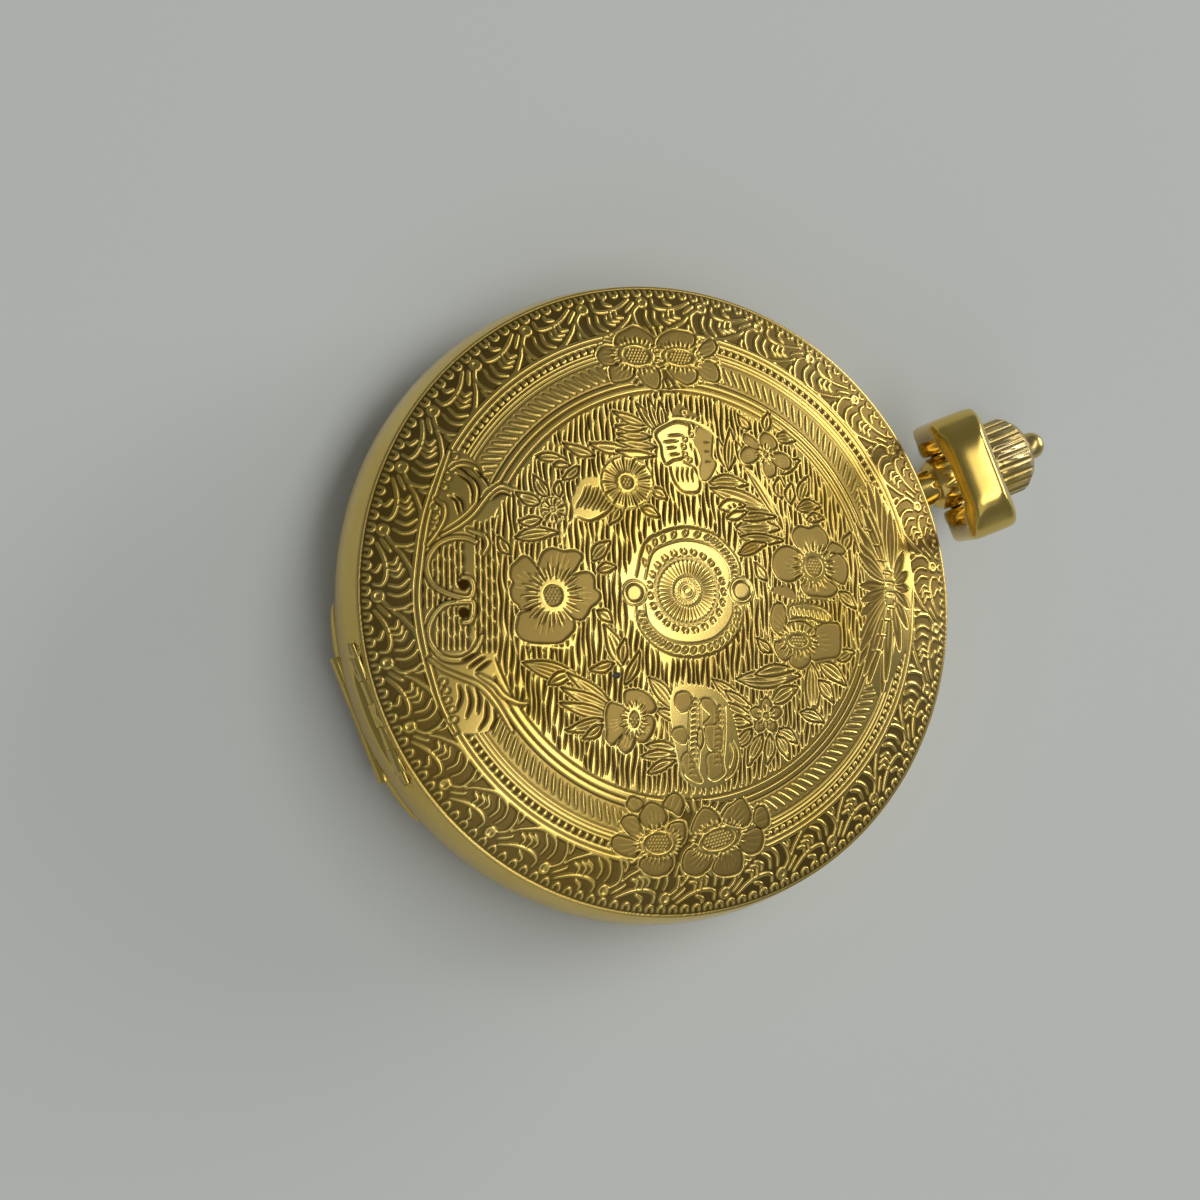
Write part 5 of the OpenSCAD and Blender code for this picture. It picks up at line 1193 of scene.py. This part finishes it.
def printed(name, quads, height):
    """Flat pieces given by their four corners, counterclockwise, on one height."""
    deselect()
    bpy.ops.mesh.primitive_grid_add(x_subdivisions=len(quads), y_subdivisions=1, size=1.0)
    piece = bpy.context.active_object
    piece.name = name
    bpy.ops.object.mode_set(mode="EDIT")
    bpy.ops.mesh.select_all(action="SELECT")
    bpy.ops.mesh.edge_split(type="EDGE")
    bpy.ops.object.mode_set(mode="OBJECT")
    vertices = piece.data.vertices
    for polygon, corners in zip(piece.data.polygons, quads):
        for index, (x, y) in zip(polygon.vertices, corners):
            vertices[index].co = (x * MM, y * MM, height * MM)
    piece.data.update()
    solid = piece.modifiers.new("thick", "SOLIDIFY")
    solid.thickness = PRINT_THICK * MM
    solid.offset = 1.0
    apply_modifiers(piece, "thick")
    coat(piece, finish["black"])
    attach(piece, "case")


def bar(start, end, width):
    """A straight stroke as one quad."""
    (ax, ay), (bx, by) = start, end
    length = math.hypot(bx - ax, by - ay)
    ox, oy = (by - ay) / length * width / 2, -(bx - ax) / length * width / 2
    return [(ax + ox, ay + oy), (bx + ox, by + oy), (bx - ox, by - oy), (ax - ox, ay - oy)]


def ring_quads(middle, radius, width, count):
    """A thin ring as a row of quads."""
    near, far = radius - width / 2, radius + width / 2
    quads = []
    for i in range(count):
        a, b = 360.0 * i / count, 360.0 * (i + 1) / count
        quads.append([polar(*corner, middle) for corner in ((near, a), (far, a), (far, b), (near, b))])
    return quads


def numeral(word):
    """Strokes of a numeral, upright and centred."""
    wide = sum(LETTER_WIDTH[letter] for letter in word)
    x, h = -wide / 2, NUMERAL_H / 2
    quads = []
    for letter in word:
        w = LETTER_WIDTH[letter]
        if letter == "I":
            quads.append(bar((x + w / 2, -h), (x + w / 2, h), UPRIGHT))
        else:
            for foot, top, stroke in zip(LETTER_FEET[letter], LETTER_TOPS, THICK_THIN):
                quads.append(bar((x + w * foot, -h), (x + w * top, h), stroke))
        x += w
    for end in (-h, h):
        quads.append(bar((-wide / 2, end), (wide / 2, end), SERIF))
    return quads


near, far = TRACK_R
marks = ring_quads((0.0, 0.0), far, TRACK_LINE, 180) + ring_quads((0.0, 0.0), near, TRACK_LINE, 180)
for minute in range(60):
    marks.append(bar(polar(near, minute * 6), polar(far, minute * 6), 0.1 if minute % 5 else 0.3))
for hour, word in enumerate(NUMERALS):
    # The small seconds stand in the place of the six
    if hour != 6:
        place = polar(NUMERAL_R, 90 - 30 * hour)
        marks += [turned(quad, -30 * hour, place) for quad in numeral(word)]
printed("dial_print", marks, FACE_Z)

near, far = SECONDS_R
marks = [quad for radius in (far, near) for quad in ring_quads(SECONDS_MIDDLE, radius, SECONDS_LINE, 90)]
for second in range(60):
    start = polar(near if second % 5 else SECONDS_LONG_R, second * 6, SECONDS_MIDDLE)
    end = polar(far, second * 6, SECONDS_MIDDLE)
    marks.append(bar(start, end, SECONDS_LINE if second % 15 else 2 * SECONDS_LINE))
printed("seconds_print", marks, FACE_Z - SECONDS_SINK)


# Trim of the case's wall round its two hinges
SIDES = ((-1, "left"), (1, "right"))
SWELL_R = 23.93
SWELL_HALF = (3.6 * MM, 0.55 * MM, 0.72 * MM)
SWELL_PAST_PIN = 0.3
PLUG_DEPTH = 0.95 * MM
PLUG_PAST_PIN = 0.45 * MM
# Share of the front pin's diameter
PLUG_RADIUS = 0.52


def wall_trim(name, place, turn, angle, size=(1.0, 1.0, 1.0)):
    """Finishes the primitive just added as a gold piece of the wall."""
    piece = bpy.context.active_object
    piece.name = name
    piece.scale = size
    piece.rotation_euler = turn
    piece.location = place
    settle(piece)
    smooth(piece, angle)
    coat(piece, finish["gold"])
    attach(piece, "case")


# The wall swells gently into the ends of the back cover's hinge
low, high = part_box("back_hinge_pin")
for side, label in SIDES:
    deselect()
    bpy.ops.mesh.primitive_uv_sphere_add(segments=48, ring_count=24, radius=1.0)
    angle = math.asin(side * (high.x / MM + SWELL_PAST_PIN) / WALL_R)
    place = (SWELL_R * MM * math.sin(angle), -SWELL_R * MM * math.cos(angle), (low.z + high.z) / 2)
    wall_trim("hinge_swell_" + label, place, (0, 0, angle), 60.0, SWELL_HALF)

# Plugs close the drilled ends of the front cover's hinge
low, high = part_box("front_hinge_pin")
for side, label in SIDES:
    deselect()
    bpy.ops.mesh.primitive_cylinder_add(vertices=32, radius=(high.z - low.z) * PLUG_RADIUS, depth=PLUG_DEPTH)
    place = (side * (high.x + PLUG_PAST_PIN), (low.y + high.y) / 2, (low.z + high.z) / 2)
    wall_trim("hinge_plug_" + label, place, (0, math.radians(90), 0), 35.0)


# Floor, lamps and camera
def floor():
    """A wide pale floor, just under the watch."""
    deselect()
    bpy.ops.mesh.primitive_plane_add(size=6.0, location=(0, 0, -0.00002))
    plane = bpy.context.active_object
    plane.name = "floor"
    made = Finish("pale_floor", Roughness=0.7, Specular_IOR_Level=0.15)
    made.set("Base_Color", made.mix(made.noise(9.0, 2.0), FLOOR_SHADE, FLOOR_PALE))
    plane.data.materials.append(made.material)


def world():
    """Even light from all round."""
    sky = bpy.data.worlds.new("room")
    bpy.context.scene.world = sky
    sky.use_nodes = True
    back = sky.node_tree.nodes["Background"]
    back.inputs["Color"].default_value = (*ROOM_LIGHT, 1)
    back.inputs["Strength"].default_value = ROOM_STRENGTH


def ornament_to_part(vector):
    """A direction or place read against the ornament, turned into the part's frame."""
    x, y = turned([vector[:2]], ORNAMENT_TURN)[0]
    return Vector((x, y, vector[2]))


def lamp(name, place, size, power, colour):
    """A soft lamp that looks at the watch, with its long side turned across the ornament."""
    light = bpy.data.lights.new(name, "AREA")
    light.shape = "RECTANGLE"
    light.size, light.size_y = size
    light.energy = power
    light.color = colour
    held = bpy.data.objects.new(name, light)
    bpy.context.scene.collection.objects.link(held)
    place = ornament_to_part(place)
    along = ornament_to_part((0.50, 0.86, 0.0))
    back = place.normalized()
    side = (along - back * along.dot(back)).normalized()
    facing = Matrix((side, back.cross(side), back)).transposed()
    held.matrix_world = Matrix.Translation(place) @ facing.to_4x4()


# Place of the camera in millimetres and its turn in radians, and its lens in pixels of the picture
CAMERA_PLACE = (-73.028, -22.354, 181.689)
CAMERA_TILT = (-0.116, 0.356, 0.0)
FOCAL_PIXELS = 2600.0
IMAGE_PIXELS = 1200.0
SENSOR_WIDTH = 36.0


def camera():
    """The camera stands where the photo was taken from, read against the ornament's frame."""
    lens = bpy.data.cameras.new("camera")
    lens.sensor_width = SENSOR_WIDTH
    lens.sensor_fit = "HORIZONTAL"
    lens.lens = SENSOR_WIDTH * FOCAL_PIXELS / IMAGE_PIXELS
    lens.clip_start = 0.005
    held = bpy.data.objects.new("camera", lens)
    bpy.context.scene.collection.objects.link(held)
    tilt = Vector(CAMERA_TILT)
    seen = Matrix.Rotation(tilt.length, 3, tilt.normalized())
    turn = Matrix.Rotation(math.radians(ORNAMENT_TURN), 3, "Z")
    facing = turn @ seen.transposed()
    place = ornament_to_part(CAMERA_PLACE) * MM + Vector((0, 0, RIM_Z * MM))
    held.matrix_world = Matrix.Translation(place) @ facing.to_4x4()
    bpy.context.scene.camera = held


floor()
world()
# Place in metres, size, power in watts and colour
lamp("window", (0.22, 0.03, 0.97), (1.3, 0.36), 4.2, (1.0, 0.98, 0.92))
lamp("side", (1.5, 0.7, 0.42), (1.1, 0.5), 12.0, (1.0, 0.99, 0.97))
lamp("fill", (-0.3, -0.95, 0.9), (1.2, 1.2), 2.1, (1.0, 1.0, 1.0))
camera()

bpy.context.scene.view_settings.view_transform = "Standard"
